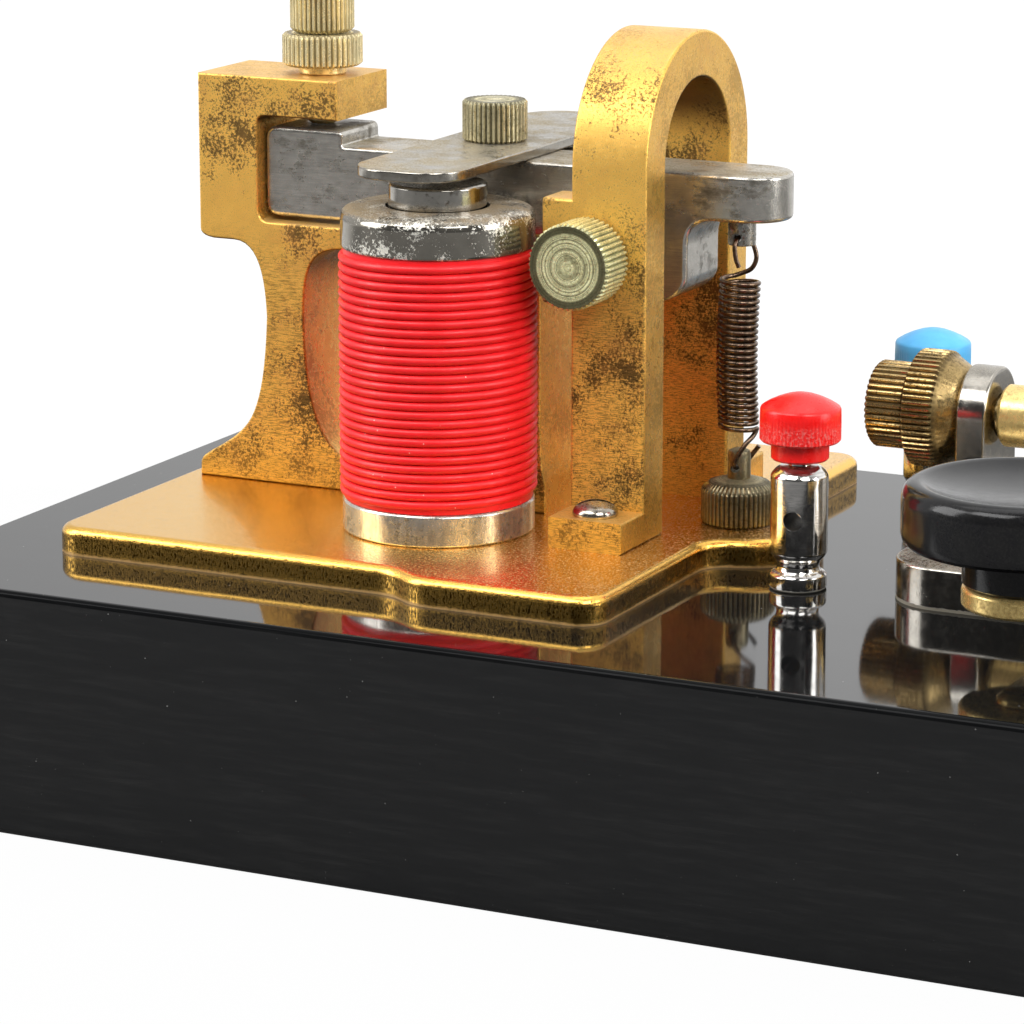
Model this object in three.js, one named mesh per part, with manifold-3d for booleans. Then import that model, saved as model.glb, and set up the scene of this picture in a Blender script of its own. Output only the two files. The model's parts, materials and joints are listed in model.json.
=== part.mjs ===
// Telegraph practice set: a sounder and a morse key on one lacquered board.
// Millimetres, +Z up, X along the board's front edge, Y from the front to the back.
// The origin is the centre of the board's underside.
import * as THREE from 'three';
import { mergeVertices } from 'three/addons/utils/BufferGeometryUtils.js';
import Module from 'manifold-3d';

const wasm = await Module();
wasm.setup();

// ---------------------------------------------------------------- driving dimensions

const board = { length: 194, depth: 107, height: 31.2, edge: 1, corner: 1.6 };
const pocket = { length: 150, depth: 84, height: 9, coverLip: 5, coverThickness: 2 };
const coverScrew = { shank: 1.3, hole: 1.6, bottom: 0.3, top: 7 };
const clearance = 0.3;

// The sounder and the key are placed on the board's top by these points.
const sounderPlace = { x: -39, y: 5.25 };
const keyPlace = { x: 43, y: 5.25 };
const redPostPlace = { x: 8.1, y: -9.25 };
const bluePostPlace = { x: 8.3, y: 35.5 };

const plate = {
  left: -43.9, right: 33.2, thickness: 3.5, halfLeft: 40, halfRight: 43,
  stepFrom: 2.5, stepTo: 11, leftCorner: 4, rightCorner: 3.5, topRadius: 1.2,
  lobeX: 34.5, lobeRadius: 9.4, lobeFillet: 4,
};
const coil = {
  offset: 18.4, wireRadius: 12.4, ringRadius: 12.05, capRadius: 12.1, coreRadius: 6.15,
  wireBottom: 7.65, wireTop: 39.25, capTop: 44.3, coreTop: 47.2, capRound: 1.5,
};
const anvil = {
  left: -40.65, footLeft: -41.15, right: 9.25, column: 8.55, footTop: 7, half: 7, top: 56.8, jawEnd: -20.25,
  slotLeft: -32, slotTop: 51.75, slotBottom: 38, jawBottom: 35.3,
  waist: -30.95, holeCentre: -11.05, holeHalf: 14.3, holeBottom: 7.3, holeTop: 35.2,
};
const arch = {
  left: 17, right: 27, outer: 15.8, inner: 9.95, springLine: 49.45, footEnd: 22.5,
  footHeight: 3.9, lugLeft: 12.9, lugBottom: 32.6, lugTop: 45.8,
};
const pivot = { x: 19.6, z: 38.55 };
const lever = {
  left: -31.75, right: 39.4, half: 5.2, bottom: 38.55, top: 48.3, blockTop: 50.3,
  blockEnd: -20.5, tailBottom: 42.4, hubHalf: 8.1, hubSide: 35, hubBottom: 31,
};
const armature = { x: -1.2, width: 14.5, length: 55.5, thickness: 1.4, corner: 5.4 };
const armatureScrew = { head: 4.15, height: 5.25, depth: 4.5 };
const stop = { x: -26, shank: 2.1, head: 4.15, headTop: 71, nut: 5.2, nutTop: 62.05, collar: 3.1, collarHeight: 1.05 };
const spring = { x: 33, outer: 2.65, wire: 0.6, top: 35, bottom: 15.3, pin: 1.75, pinBottom: 38.9, eye: 40, hook: 0.55 };
const adjuster = { head: 4.75, top: 9.2, pin: 1.46, pinTop: 13.05, eye: 10.7, shankBottom: -10 };
const pivotScrew = { head: 5.35, length: 6.3, shank: 2, gap: 0.3 };

const post = {
  collar: 3.5, collarTop: 2.1, waist: 2.7, body: 3.52, bodyBottom: 4.4, bodyTop: 14.4,
  seat: 15.3, hole: 1.2, holeHeight: 9, holeTurn: 9, stud: 1.3, studTop: 18.9, lowerStud: 1.5,
  cap: 4.94, capNeck: 3.53, neckBottom: 16.05, rim: 18.35, shoulder: 22.6, dome: 24.3,
};

const base = {
  half: 23.2, wing: 24.1, front: -17.7, back: 42, thickness: 5.1, corner: 7,
  earInner: 20.2, earRadius: 6.1,
};
const trunnion = {
  y: 16, z: 16.95, boss: 3.95, bossEnd: 19.5, shank: 2.5, nut: 7.5, nutOuter: 31,
  head: 5.55, headOuter: 36.6, headInner: 31.3, coneStep: 2, coneLength: 2.9, bevel: 0.8,
  point: 17.6, pointRadius: 0.6, pointEnd: 20.4,
};
const bar = { half: 4.5, back: 39.5, thickness: 4.5, strapTop: 8.3, strapBottom: 6.3, disc: 7.3, discBottom: 5.7 };
const knob = { y: -31.5, radius: 14.4, rim: 12.9, dish: 11.7, top: 20.4, neckTop: 13, dishDepth: 1.7 };
const contact = { y: -6, bush: 4, stud: 2.2, top: 8.6, gap: 0.42, tip: 1.5, tipTop: 14 };
const springScrew = { y: 4, tip: 12.6 };
const backStop = { y: 34.5 };
const smallScrew = { shank: 1.5, nut: 4.2, nutHeight: 2.3, head: 3.6, headHeight: 4.2 };
const keySpring = { outer: 2.5, wire: 0.5 };
const domeScrew = { radius: 2.85, height: 1.9, shank: 1.3 };
const underScrew = { shank: 1.6, head: 3.4, headHeight: 2 };
const linkWire = { radius: 0.8, depth: 4.6 };

const pocketCeiling = pocket.height - board.height;

// How many sides a turned piece has, by its size.
const sides = { large: 28, medium: 20, small: 14, tiny: 10 };

// ---------------------------------------------------------------- materials

const finishes = {
  lacquer: { color: 0x17181a, roughness: 0.08, metalness: 0 },
  fibre: { color: 0x1d1b19, roughness: 0.9, metalness: 0 },
  goldPlate: { color: 0xc98a3a, roughness: 0.12, metalness: 1 },
  goldSatin: { color: 0xc8963c, roughness: 0.38, metalness: 1 },
  agedBrass: { color: 0x8a7a4c, roughness: 0.45, metalness: 1 },
  brass: { color: 0xb5873a, roughness: 0.3, metalness: 1 },
  nickel: { color: 0x9b968c, roughness: 0.3, metalness: 1 },
  chrome: { color: 0xd8d8d8, roughness: 0.08, metalness: 1 },
  steel: { color: 0x77736c, roughness: 0.4, metalness: 1 },
  springSteel: { color: 0x35271f, roughness: 0.4, metalness: 1 },
  redWire: { color: 0xd8202a, roughness: 0.3, metalness: 0 },
  redPlastic: { color: 0xd2161a, roughness: 0.4, metalness: 0 },
  bluePlastic: { color: 0x3fb2ee, roughness: 0.4, metalness: 0 },
  blackPlastic: { color: 0x141416, roughness: 0.2, metalness: 0 },
  iron: { color: 0xb9b6b0, roughness: 0.25, metalness: 1 },
};

// ---------------------------------------------------------------- solids

// A closed geometry becomes a solid that can be cut and joined.
function solid(geometry) {
  const bare = geometry.index ? geometry.toNonIndexed() : geometry.clone();
  bare.deleteAttribute('normal');
  bare.deleteAttribute('uv');
  const merged = mergeVertices(bare, 1e-4);
  return new wasm.Manifold(new wasm.Mesh({
    numProp: 3,
    vertProperties: new Float32Array(merged.attributes.position.array),
    triVerts: new Uint32Array(merged.index.array),
  }));
}

function geometryOf(manifold) {
  const mesh = manifold.getMesh();
  const geometry = new THREE.BufferGeometry();
  geometry.setAttribute('position', new THREE.BufferAttribute(mesh.vertProperties, 3));
  geometry.setIndex(new THREE.BufferAttribute(mesh.triVerts, 1));
  geometry.computeVertexNormals();
  return geometry;
}

function cut(geometry, tools) {
  return geometryOf(tools.reduce((body, tool) => body.subtract(solid(tool)), solid(geometry)));
}

function join(geometries) {
  return geometryOf(geometries.slice(1).reduce((body, next) => body.add(solid(next)), solid(geometries[0])));
}

// A turned piece about the Z axis. Each profile point is [radius, height].
function turned(profile, segments = sides.medium) {
  const points = profile.map(([radius, height]) => new THREE.Vector2(radius, height));
  return new THREE.LatheGeometry(points, segments).rotateX(Math.PI / 2);
}

function rod(radius, low, high, segments = sides.small) {
  return turned([[0, low], [radius, low], [radius, high], [0, high]], segments);
}

function ring(inner, outer, low, high, segments = sides.medium) {
  return turned([[inner, low], [outer, low], [outer, high], [inner, high], [inner, low]], segments);
}

// A flat outline in X and Y, raised from one height to another.
function raised(shape, low, high, curveSegments = 5) {
  const depth = high - low;
  return new THREE.ExtrudeGeometry(shape, { depth, bevelEnabled: false, curveSegments }).translate(0, 0, low);
}

// A raised outline whose upper edge is rounded.
function raisedRound(shape, low, high, radius, steps, curveSegments) {
  const full = new THREE.ExtrudeGeometry(shape, {
    depth: high - low, bevelThickness: radius, bevelSize: radius, bevelOffset: -radius,
    bevelSegments: steps, curveSegments,
  }).translate(0, 0, low - radius);
  const below = block([-200, -200, low - 10], [200, 200, low]);
  return cut(full, [below]);
}

// An outline in X and Z, given its thickness along Y.
function sideways(shape, half, curveSegments = 5) {
  const geometry = new THREE.ExtrudeGeometry(shape, { depth: 2 * half, bevelEnabled: false, curveSegments });
  return geometry.rotateX(Math.PI / 2).translate(0, half, 0);
}

// An outline in Y and Z, given its thickness along X.
function lengthways(shape, from, to, curveSegments = 6) {
  const geometry = new THREE.ExtrudeGeometry(shape, { depth: to - from, bevelEnabled: false, curveSegments });
  const turn = new THREE.Matrix4().makeBasis(
    new THREE.Vector3(0, 1, 0), new THREE.Vector3(0, 0, 1), new THREE.Vector3(1, 0, 0),
  );
  return geometry.applyMatrix4(turn).translate(from, 0, 0);
}

function block(low, high) {
  const size = high.map((value, axis) => value - low[axis]);
  const centre = high.map((value, axis) => (value + low[axis]) / 2);
  return new THREE.BoxGeometry(...size).translate(...centre);
}

// Turned pieces are made along Z and then laid along X or Y.
const alongX = (geometry) => geometry.rotateY(Math.PI / 2);
const alongY = (geometry) => geometry.rotateX(-Math.PI / 2);

function roundedOutline(left, right, front, back, radius) {
  const shape = new THREE.Shape();
  shape.absarc(left + radius, front + radius, radius, Math.PI, 1.5 * Math.PI);
  shape.absarc(right - radius, front + radius, radius, 1.5 * Math.PI, 2 * Math.PI);
  shape.absarc(right - radius, back - radius, radius, 0, 0.5 * Math.PI);
  shape.absarc(left + radius, back - radius, radius, 0.5 * Math.PI, Math.PI);
  return shape;
}

// ---------------------------------------------------------------- the assembly

const assembly = new THREE.Group();
const sounder = new THREE.Group();
const key = new THREE.Group();
sounder.position.set(sounderPlace.x, sounderPlace.y, board.height);
key.position.set(keyPlace.x, keyPlace.y, board.height);
assembly.add(sounder, key);

function add(group, name, geometry, finish, place = [0, 0, 0]) {
  const mesh = new THREE.Mesh(geometry, new THREE.MeshStandardMaterial(finishes[finish]));
  mesh.name = name;
  mesh.position.set(...place);
  group.add(mesh);
  return mesh;
}

// A place on the board's top, from a group's own point.
const onBoard = (place, x, y) => ({ x: place.x + x, y: place.y + y });

const coilPlaces = { front: -coil.offset, back: coil.offset };
const coilScrewPlaces = Object.values(coilPlaces).map((y) => onBoard(sounderPlace, 0, y));
const adjusterPlace = onBoard(sounderPlace, spring.x, 0);
const contactPlace = onBoard(keyPlace, 0, contact.y);
const keyScrewSpots = { left: [-16, 27], right: [16, -10] };
const keyScrewPlaces = Object.values(keyScrewSpots).map(([x, y]) => onBoard(keyPlace, x, y));
const coverScrewSpots = [[-1, -1], [1, -1], [1, 1], [-1, 1]].map(([sx, sy]) => ({
  x: sx * (pocket.length / 2 + pocket.coverLip / 2),
  y: sy * (pocket.depth / 2 + pocket.coverLip / 2),
}));

// ---------------------------------------------------------------- board and its underside

function makeBoard() {
  const half = { x: board.length / 2, y: board.depth / 2 };
  const outline = roundedOutline(-half.x, half.x, -half.y, half.y, board.corner);
  const body = new THREE.ExtrudeGeometry(outline, {
    depth: board.height - 2 * board.edge, bevelThickness: board.edge, bevelSize: board.edge,
    bevelOffset: -board.edge, bevelSegments: 2, curveSegments: 2,
  }).translate(0, 0, board.edge);
  const coverX = pocket.length / 2 + pocket.coverLip;
  const coverY = pocket.depth / 2 + pocket.coverLip;
  const hole = (place, radius, low = 1) => rod(radius, low, board.height + 1, sides.tiny).translate(place.x, place.y, 0);
  return cut(body, [
    block([-pocket.length / 2, -pocket.depth / 2, -1], [pocket.length / 2, pocket.depth / 2, pocket.height]),
    block([-coverX, -coverY, -1], [coverX, coverY, pocket.coverThickness]),
    ...coilScrewPlaces.map((place) => hole(place, underScrew.shank + clearance)),
    ...keyScrewPlaces.map((place) => hole(place, underScrew.shank + clearance)),
    ...[redPostPlace, bluePostPlace].map((place) => hole(place, post.lowerStud + clearance)),
    hole(contactPlace, contact.bush + clearance),
    hole(adjusterPlace, smallScrew.shank + clearance, board.height - 14),
    ...coverScrewSpots.map(({ x, y }) => rod(coverScrew.shank + clearance, 1, coverScrew.top + 1, sides.tiny).translate(x, y, 0)),
  ]);
}
add(assembly, 'board', makeBoard(), 'lacquer');

function makeCover() {
  const x = pocket.length / 2 + pocket.coverLip - clearance;
  const y = pocket.depth / 2 + pocket.coverLip - clearance;
  const sheet = raised(roundedOutline(-x, x, -y, y, 2), 0, pocket.coverThickness, 2);
  return cut(sheet, coverScrewSpots.map((spot) => rod(coverScrew.hole, -1, 4, sides.tiny).translate(spot.x, spot.y, 0)));
}
add(assembly, 'bottom_cover', makeCover(), 'fibre');

coverScrewSpots.forEach(({ x, y }, index) => {
  const { shank, bottom, top } = coverScrew;
  add(assembly, `cover_screw_${index + 1}`, rod(shank, bottom, top, sides.tiny), 'steel', [x, y, 0]);
});

// ---------------------------------------------------------------- sounder base, anvil and arch

function plateOutline() {
  const shape = new THREE.Shape();
  const reach = plate.lobeRadius + plate.lobeFillet;
  const filletX = plate.right + plate.lobeFillet;
  const filletY = Math.sqrt(reach ** 2 - (filletX - plate.lobeX) ** 2);
  const lobeAngle = Math.atan2(filletY, filletX - plate.lobeX);
  const { left, right, halfLeft, halfRight, leftCorner, rightCorner, stepFrom, stepTo } = plate;
  const middle = (stepFrom + stepTo) / 2;
  shape.absarc(left + leftCorner, -halfLeft + leftCorner, leftCorner, Math.PI, 1.5 * Math.PI);
  shape.lineTo(stepFrom, -halfLeft);
  shape.bezierCurveTo(middle, -halfLeft, middle, -halfRight, stepTo, -halfRight);
  shape.absarc(right - rightCorner, -halfRight + rightCorner, rightCorner, 1.5 * Math.PI, 2 * Math.PI);
  shape.lineTo(right, -filletY);
  shape.absarc(filletX, -filletY, plate.lobeFillet, Math.PI, Math.PI - lobeAngle, true);
  shape.absarc(plate.lobeX, 0, plate.lobeRadius, -lobeAngle, lobeAngle);
  shape.absarc(filletX, filletY, plate.lobeFillet, Math.PI + lobeAngle, Math.PI, true);
  shape.absarc(right - rightCorner, halfRight - rightCorner, rightCorner, 0, 0.5 * Math.PI);
  shape.lineTo(stepTo, halfRight);
  shape.bezierCurveTo(middle, halfRight, middle, halfLeft, stepFrom, halfLeft);
  shape.absarc(left + leftCorner, halfLeft - leftCorner, leftCorner, 0.5 * Math.PI, Math.PI);
  return shape;
}

function makePlate() {
  const body = raisedRound(plateOutline(), 0, plate.thickness, plate.topRadius, 2, 4);
  const holes = Object.values(coilPlaces).map((y) => rod(underScrew.shank + clearance, -1, 5, sides.tiny).translate(0, y, 0));
  const adjusterHole = rod(smallScrew.shank + clearance, -1, 5, sides.tiny).translate(spring.x, 0, 0);
  const footHoles = footSpots().map(([x, y]) => rod(domeScrew.shank + clearance, 0.6, 5, sides.tiny).translate(x, y, 0));
  return cut(body, [...holes, adjusterHole, ...footHoles]);
}

function footSpots() {
  const y = (arch.outer + arch.footEnd) / 2;
  const x = (arch.left + arch.right) / 2;
  return [[x, -y], [x, y]];
}
add(sounder, 'sounder_base', makePlate(), 'goldPlate');

// The harp-shaped frame: a waisted post with two jaws, an oval window and a right-hand column.
function makeAnvil() {
  const a = anvil;
  const shape = new THREE.Shape();
  shape.moveTo(a.footLeft, plate.thickness);
  shape.lineTo(a.right, plate.thickness);
  shape.lineTo(a.right, a.footTop);
  shape.quadraticCurveTo(a.column, a.footTop + 3, a.column, a.footTop + 8);
  shape.lineTo(a.column, a.slotBottom - 2);
  shape.quadraticCurveTo(a.column, a.slotBottom, a.column - 2.3, a.slotBottom);
  shape.lineTo(a.slotLeft + 1.5, a.slotBottom);
  shape.quadraticCurveTo(a.slotLeft, a.slotBottom, a.slotLeft, a.slotBottom + 1.5);
  shape.lineTo(a.slotLeft, a.slotTop - 1.2);
  shape.quadraticCurveTo(a.slotLeft, a.slotTop, a.slotLeft + 1.2, a.slotTop);
  shape.lineTo(a.jawEnd, a.slotTop);
  shape.lineTo(a.jawEnd, a.top);
  shape.lineTo(a.left, a.top);
  shape.lineTo(a.left, a.jawBottom + 1.2);
  shape.quadraticCurveTo(a.left, a.jawBottom + 0.2, a.left + 2, a.jawBottom);
  shape.lineTo(a.left + 5, a.jawBottom);
  shape.bezierCurveTo(a.waist - 1, a.jawBottom, a.waist - 0.2, 30.5, a.waist, 25.5);
  shape.bezierCurveTo(a.waist - 0.3, 19, a.waist - 1, 14, a.waist - 3, 11.2);
  shape.bezierCurveTo(a.waist - 5, 8.6, a.waist - 8, 7.4, a.footLeft + 0.9, 6.4);
  shape.quadraticCurveTo(a.footLeft, 5.9, a.footLeft, 4.9);
  shape.closePath();
  const body = sideways(shape, a.half, 4);
  const hole = roundedWindow(a.holeCentre, a.holeHalf, a.holeBottom, a.holeTop, 7.5, 4.5);
  const coilRelief = Object.values(coilPlaces).map((y) => rod(coil.wireRadius + 0.45, 3, 60, sides.large).translate(0, y, 0));
  const stopHole = rod(stop.shank + clearance, a.slotTop - 1, a.top + 1).translate(stop.x, 0, 0);
  return cut(body, [sideways(hole, a.half + 1, 4), ...coilRelief, stopHole]);
}

function roundedWindow(centre, half, bottom, top, lowRadius, highRadius) {
  const shape = new THREE.Shape();
  shape.absarc(centre - half + lowRadius, bottom + lowRadius, lowRadius, Math.PI, 1.5 * Math.PI);
  shape.absarc(centre + half - lowRadius, bottom + lowRadius, lowRadius, 1.5 * Math.PI, 2 * Math.PI);
  shape.absarc(centre + half - highRadius, top - highRadius, highRadius, 0, 0.5 * Math.PI);
  shape.absarc(centre - half + highRadius, top - highRadius, highRadius, 0.5 * Math.PI, Math.PI);
  return shape;
}
add(sounder, 'anvil_frame', makeAnvil(), 'goldSatin');

// The arch: an inverted U on two feet, with a lug at each pivot.
function makeArch() {
  const a = arch;
  const outline = new THREE.Shape();
  outline.moveTo(-a.outer, plate.thickness);
  outline.lineTo(-a.inner, plate.thickness);
  outline.lineTo(-a.inner, a.springLine);
  outline.absarc(0, a.springLine, a.inner, Math.PI, 0, true);
  outline.lineTo(a.inner, plate.thickness);
  outline.lineTo(a.outer, plate.thickness);
  outline.lineTo(a.outer, a.springLine);
  outline.absarc(0, a.springLine, a.outer, 0, Math.PI);
  outline.closePath();
  const footTop = plate.thickness + a.footHeight;
  const pieces = [lengthways(outline, a.left, a.right, 12)];
  for (const side of [-1, 1]) {
    const span = [side * (a.outer - 1), side * a.footEnd].sort((p, q) => p - q);
    const lugSpan = [side * a.inner, side * a.outer].sort((p, q) => p - q);
    pieces.push(block([a.left + 0.1, span[0], plate.thickness], [a.right, span[1], footTop]));
    pieces.push(block([a.lugLeft, lugSpan[0], a.lugBottom], [a.left + 1, lugSpan[1], a.lugTop]));
  }
  const pivotHole = alongY(rod(pivotScrew.shank + clearance, -30, 30)).translate(pivot.x, 0, pivot.z);
  const screwHoles = footSpots().map(([x, y]) => rod(domeScrew.shank + clearance, 0, 9, sides.tiny).translate(x, y, 0));
  return cut(join(pieces), [pivotHole, ...screwHoles]);
}
add(sounder, 'arch_frame', makeArch(), 'goldSatin');

// A dome-head screw with a slot, standing at its own seat.
function makeDomeScrew() {
  const { radius, height, shank } = domeScrew;
  const profile = [[0, -5], [shank, -5], [shank, 0], [radius, 0]];
  const steps = 4;
  for (let i = 1; i <= steps; i += 1) {
    const angle = (i / steps) * (Math.PI / 2);
    profile.push([i === steps ? 0 : radius * Math.cos(angle), height * Math.sin(angle)]);
  }
  const slot = block([-radius, -0.35, height - 0.7], [radius, 0.35, height + 1]);
  return cut(turned(profile, sides.small), [slot.rotateZ(0.5)]);
}
footSpots().forEach(([x, y], index) => {
  const name = index === 0 ? 'arch_foot_screw_front' : 'arch_foot_screw_back';
  add(sounder, name, makeDomeScrew(), 'nickel', [x, y, plate.thickness + arch.footHeight]);
});

// ---------------------------------------------------------------- electromagnets

for (const [side, y] of Object.entries(coilPlaces)) {
  const bore = coil.coreRadius + clearance;
  const core = cut(rod(coil.coreRadius, plate.thickness, coil.coreTop, sides.medium), [rod(underScrew.shank + clearance, 0, 14, sides.tiny)]);
  const cap = turned([
    [bore, coil.wireTop + 0.05], [coil.capRadius, coil.wireTop + 0.05], [coil.capRadius, coil.capTop - coil.capRound],
    [coil.capRadius - 0.5, coil.capTop - 0.4], [coil.capRadius - coil.capRound, coil.capTop],
    [bore, coil.capTop], [bore, coil.wireTop + 0.05],
  ], sides.large);
  add(sounder, `coil_core_${side}`, core, 'iron', [0, y, 0]);
  add(sounder, `coil_ring_${side}`, ring(bore, coil.ringRadius, plate.thickness, coil.wireBottom - 0.05, sides.large), 'nickel', [0, y, 0]);
  add(sounder, `coil_winding_${side}`, ring(bore, coil.wireRadius, coil.wireBottom, coil.wireTop, sides.large), 'redWire', [0, y, 0]);
  add(sounder, `coil_cap_${side}`, cap, 'nickel', [0, y, 0]);
  add(sounder, `coil_screw_${side}`, makeUnderScrew(11), 'steel', [0, y, 0]);
}

// A screw that comes up from the wiring pocket and ends at the given height over the board.
function makeUnderScrew(tip) {
  const { shank, head, headHeight } = underScrew;
  const seat = pocketCeiling;
  return turned([[0, seat - headHeight], [head, seat - headHeight], [head, seat], [shank, seat], [shank, tip], [0, tip]], sides.tiny);
}

// ---------------------------------------------------------------- sounder lever

function makeSounderLever() {
  const l = lever;
  const shape = new THREE.Shape();
  shape.moveTo(l.left, l.bottom + 2.2);
  shape.quadraticCurveTo(l.left, l.bottom, l.left + 2.2, l.bottom);
  shape.lineTo(pivot.x - l.hubHalf - 3.4, l.bottom);
  shape.quadraticCurveTo(pivot.x - l.hubHalf, l.bottom, pivot.x - l.hubHalf, l.hubSide);
  shape.absellipse(pivot.x, l.hubSide, l.hubHalf, l.hubSide - l.hubBottom, Math.PI, 2 * Math.PI);
  shape.lineTo(pivot.x + l.hubHalf, l.tailBottom - 3.4);
  shape.quadraticCurveTo(pivot.x + l.hubHalf, l.tailBottom, pivot.x + l.hubHalf + 3.6, l.tailBottom);
  shape.lineTo(l.right, l.tailBottom);
  shape.lineTo(l.right, l.top);
  shape.lineTo(l.blockEnd, l.top);
  shape.lineTo(l.blockEnd, l.blockTop);
  shape.lineTo(l.left, l.blockTop);
  shape.closePath();
  const plan = new THREE.Shape();
  plan.moveTo(l.left - 1, -l.half);
  plan.lineTo(l.right - l.half, -l.half);
  plan.absarc(l.right - l.half, 0, l.half, -Math.PI / 2, Math.PI / 2);
  plan.lineTo(l.left - 1, l.half);
  plan.closePath();
  const bar3d = geometryOf(solid(sideways(shape, l.half + 1, 6)).intersect(solid(raised(plan, 20, 60, 8))));
  return cut(bar3d, [
    alongY(rod(pivotScrew.shank - 0.2, -20, 20)).translate(pivot.x, 0, pivot.z),
    rod(smallScrew.shank + clearance, l.top - 6, l.top + 5, sides.tiny).translate(armature.x, 0, 0),
    rod(1.5, l.tailBottom - 1, l.tailBottom + 3, sides.tiny).translate(spring.x, 0, 0),
  ]);
}
add(sounder, 'sounder_lever', makeSounderLever(), 'steel');

function makeArmature() {
  const half = { x: armature.width / 2, y: armature.length / 2 };
  const outline = roundedOutline(-half.x, half.x, -half.y, half.y, armature.corner);
  const sheet = raised(outline, lever.top, lever.top + armature.thickness, 4);
  return cut(sheet, [rod(smallScrew.shank + clearance, 40, 60, sides.tiny)]);
}
add(sounder, 'armature', makeArmature(), 'nickel', [armature.x, 0, 0]);

// A knurled head has a small bevel at each end; the knurl itself is left to the finish.
function knurledProfile(radius, low, high, bevel) {
  return [[radius - bevel, low], [radius, low + bevel], [radius, high - bevel], [radius - bevel, high]];
}

function makeArmatureScrew() {
  const low = lever.top + armature.thickness;
  const high = low + armatureScrew.height;
  const tip = lever.top - armatureScrew.depth;
  const profile = [[0, tip], [smallScrew.shank, tip], [smallScrew.shank, low]];
  profile.push(...knurledProfile(armatureScrew.head, low, high, 0.5), [0, high]);
  return turned(profile);
}
add(sounder, 'armature_screw', makeArmatureScrew(), 'agedBrass', [armature.x, 0, 0]);

function makeStopScrew() {
  const headLow = stop.nutTop + 0.3;
  const tip = lever.blockTop + 0.1;
  const profile = [[0, tip], [stop.shank - 0.5, tip], [stop.shank, tip + 0.5], [stop.shank, headLow]];
  profile.push(...knurledProfile(stop.head, headLow, stop.headTop, 0.6), [0, stop.headTop]);
  return turned(profile);
}
add(sounder, 'stop_screw', makeStopScrew(), 'agedBrass', [stop.x, 0, 0]);

function makeStopNut() {
  const bore = stop.shank + clearance;
  const low = anvil.top + 0.05;
  const shoulder = low + stop.collarHeight;
  const profile = [[bore, low], [stop.collar, low], [stop.collar, shoulder]];
  profile.push(...knurledProfile(stop.nut, shoulder, stop.nutTop, 0.4), [bore, stop.nutTop], [bore, low]);
  return turned(profile);
}
add(sounder, 'stop_lock_nut', makeStopNut(), 'agedBrass', [stop.x, 0, 0]);

// The pivot screw points along +Z here and is laid along Y with its tip in the lever's hub.
function makePivotScrew() {
  const headLow = arch.outer + pivotScrew.gap;
  const headHigh = headLow + pivotScrew.length;
  const profile = [[0, 4.3], [0.5, 4.3], [pivotScrew.shank - 0.6, 5.6], [pivotScrew.shank, 6.2], [pivotScrew.shank, headLow]];
  profile.push(...knurledProfile(pivotScrew.head, headLow, headHigh, 0.3), [0, headHigh]);
  return turned(profile);
}
add(sounder, 'pivot_screw_front', alongY(makePivotScrew()).rotateZ(Math.PI), 'agedBrass', [pivot.x, 0, pivot.z]);
add(sounder, 'pivot_screw_back', alongY(makePivotScrew()), 'agedBrass', [pivot.x, 0, pivot.z]);

// ---------------------------------------------------------------- return spring and its adjuster

function makeSpringPin() {
  const { pin, pinBottom } = spring;
  const body = turned([
    [0, pinBottom], [pin - 0.3, pinBottom], [pin, pinBottom + 0.3], [pin, lever.tailBottom],
    [1.2, lever.tailBottom], [1.2, lever.tailBottom + 2.6], [0, lever.tailBottom + 2.6],
  ], sides.small);
  return cut(body, [alongY(rod(spring.hook, -3, 3, sides.tiny)).translate(0, 0, spring.eye)]);
}
add(sounder, 'spring_pin', makeSpringPin(), 'springSteel', [spring.x, 0, 0]);

const springBody = ring(spring.outer - spring.wire, spring.outer, spring.bottom, spring.top, sides.small);
add(sounder, 'return_spring', springBody, 'springSteel', [spring.x, 0, 0]);

function makeAdjuster() {
  const { head, top, pin, pinTop, eye, shankBottom } = adjuster;
  const low = plate.thickness + 0.1;
  const body = turned([
    [0, shankBottom], [smallScrew.shank, shankBottom], [smallScrew.shank, low], [head - 0.5, low], [head, low + 0.5],
    [head, top - 1.2], [head - 1.6, top], [pin, top], [pin, pinTop - 0.4], [pin - 0.4, pinTop], [0, pinTop],
  ]);
  return cut(body, [alongY(rod(spring.hook, -3, 3, sides.tiny)).translate(0, 0, eye)]);
}
add(sounder, 'spring_adjuster', makeAdjuster(), 'agedBrass', [spring.x, 0, 0]);

// ---------------------------------------------------------------- binding posts

function makePostBody() {
  const p = post;
  const body = turned([
    [0, pocketCeiling - 5], [p.lowerStud, pocketCeiling - 5], [p.lowerStud, 0], [p.collar, 0],
    [p.collar, p.collarTop - 0.4], [p.collar - 0.4, p.collarTop], [p.waist, p.collarTop],
    [p.waist, 3.5], [p.body, p.bodyBottom], [p.body, p.bodyTop], [p.waist, p.seat], [p.stud, p.seat],
    [p.stud, p.studTop], [0, p.studTop],
  ]);
  const wireHole = alongY(rod(p.hole, -6, 6, sides.tiny)).translate(0, 0, p.holeHeight);
  return cut(body, [wireHole.rotateZ(THREE.MathUtils.degToRad(p.holeTurn))]);
}

function makePostCap() {
  const p = post;
  const bore = p.stud + clearance;
  const ceiling = p.studTop + 0.4;
  return turned([
    [bore, ceiling], [bore, p.neckBottom], [p.capNeck, p.neckBottom], [p.capNeck, p.rim], [p.cap - 0.5, p.rim],
    [p.cap, p.rim + 0.6], [p.cap, p.shoulder - 0.15], [p.cap - 0.2, p.shoulder], [p.cap - 1.5, p.shoulder + 0.75],
    [p.cap - 3, p.dome - 0.35],
    [0, p.dome], [0, ceiling], [bore, ceiling],
  ]);
}

function makePostNut() {
  const low = pocketCeiling - 2.4;
  return cut(rod(3.1, low, pocketCeiling, 6), [rod(post.lowerStud + clearance, low - 1, pocketCeiling + 1, sides.tiny)]);
}

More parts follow.
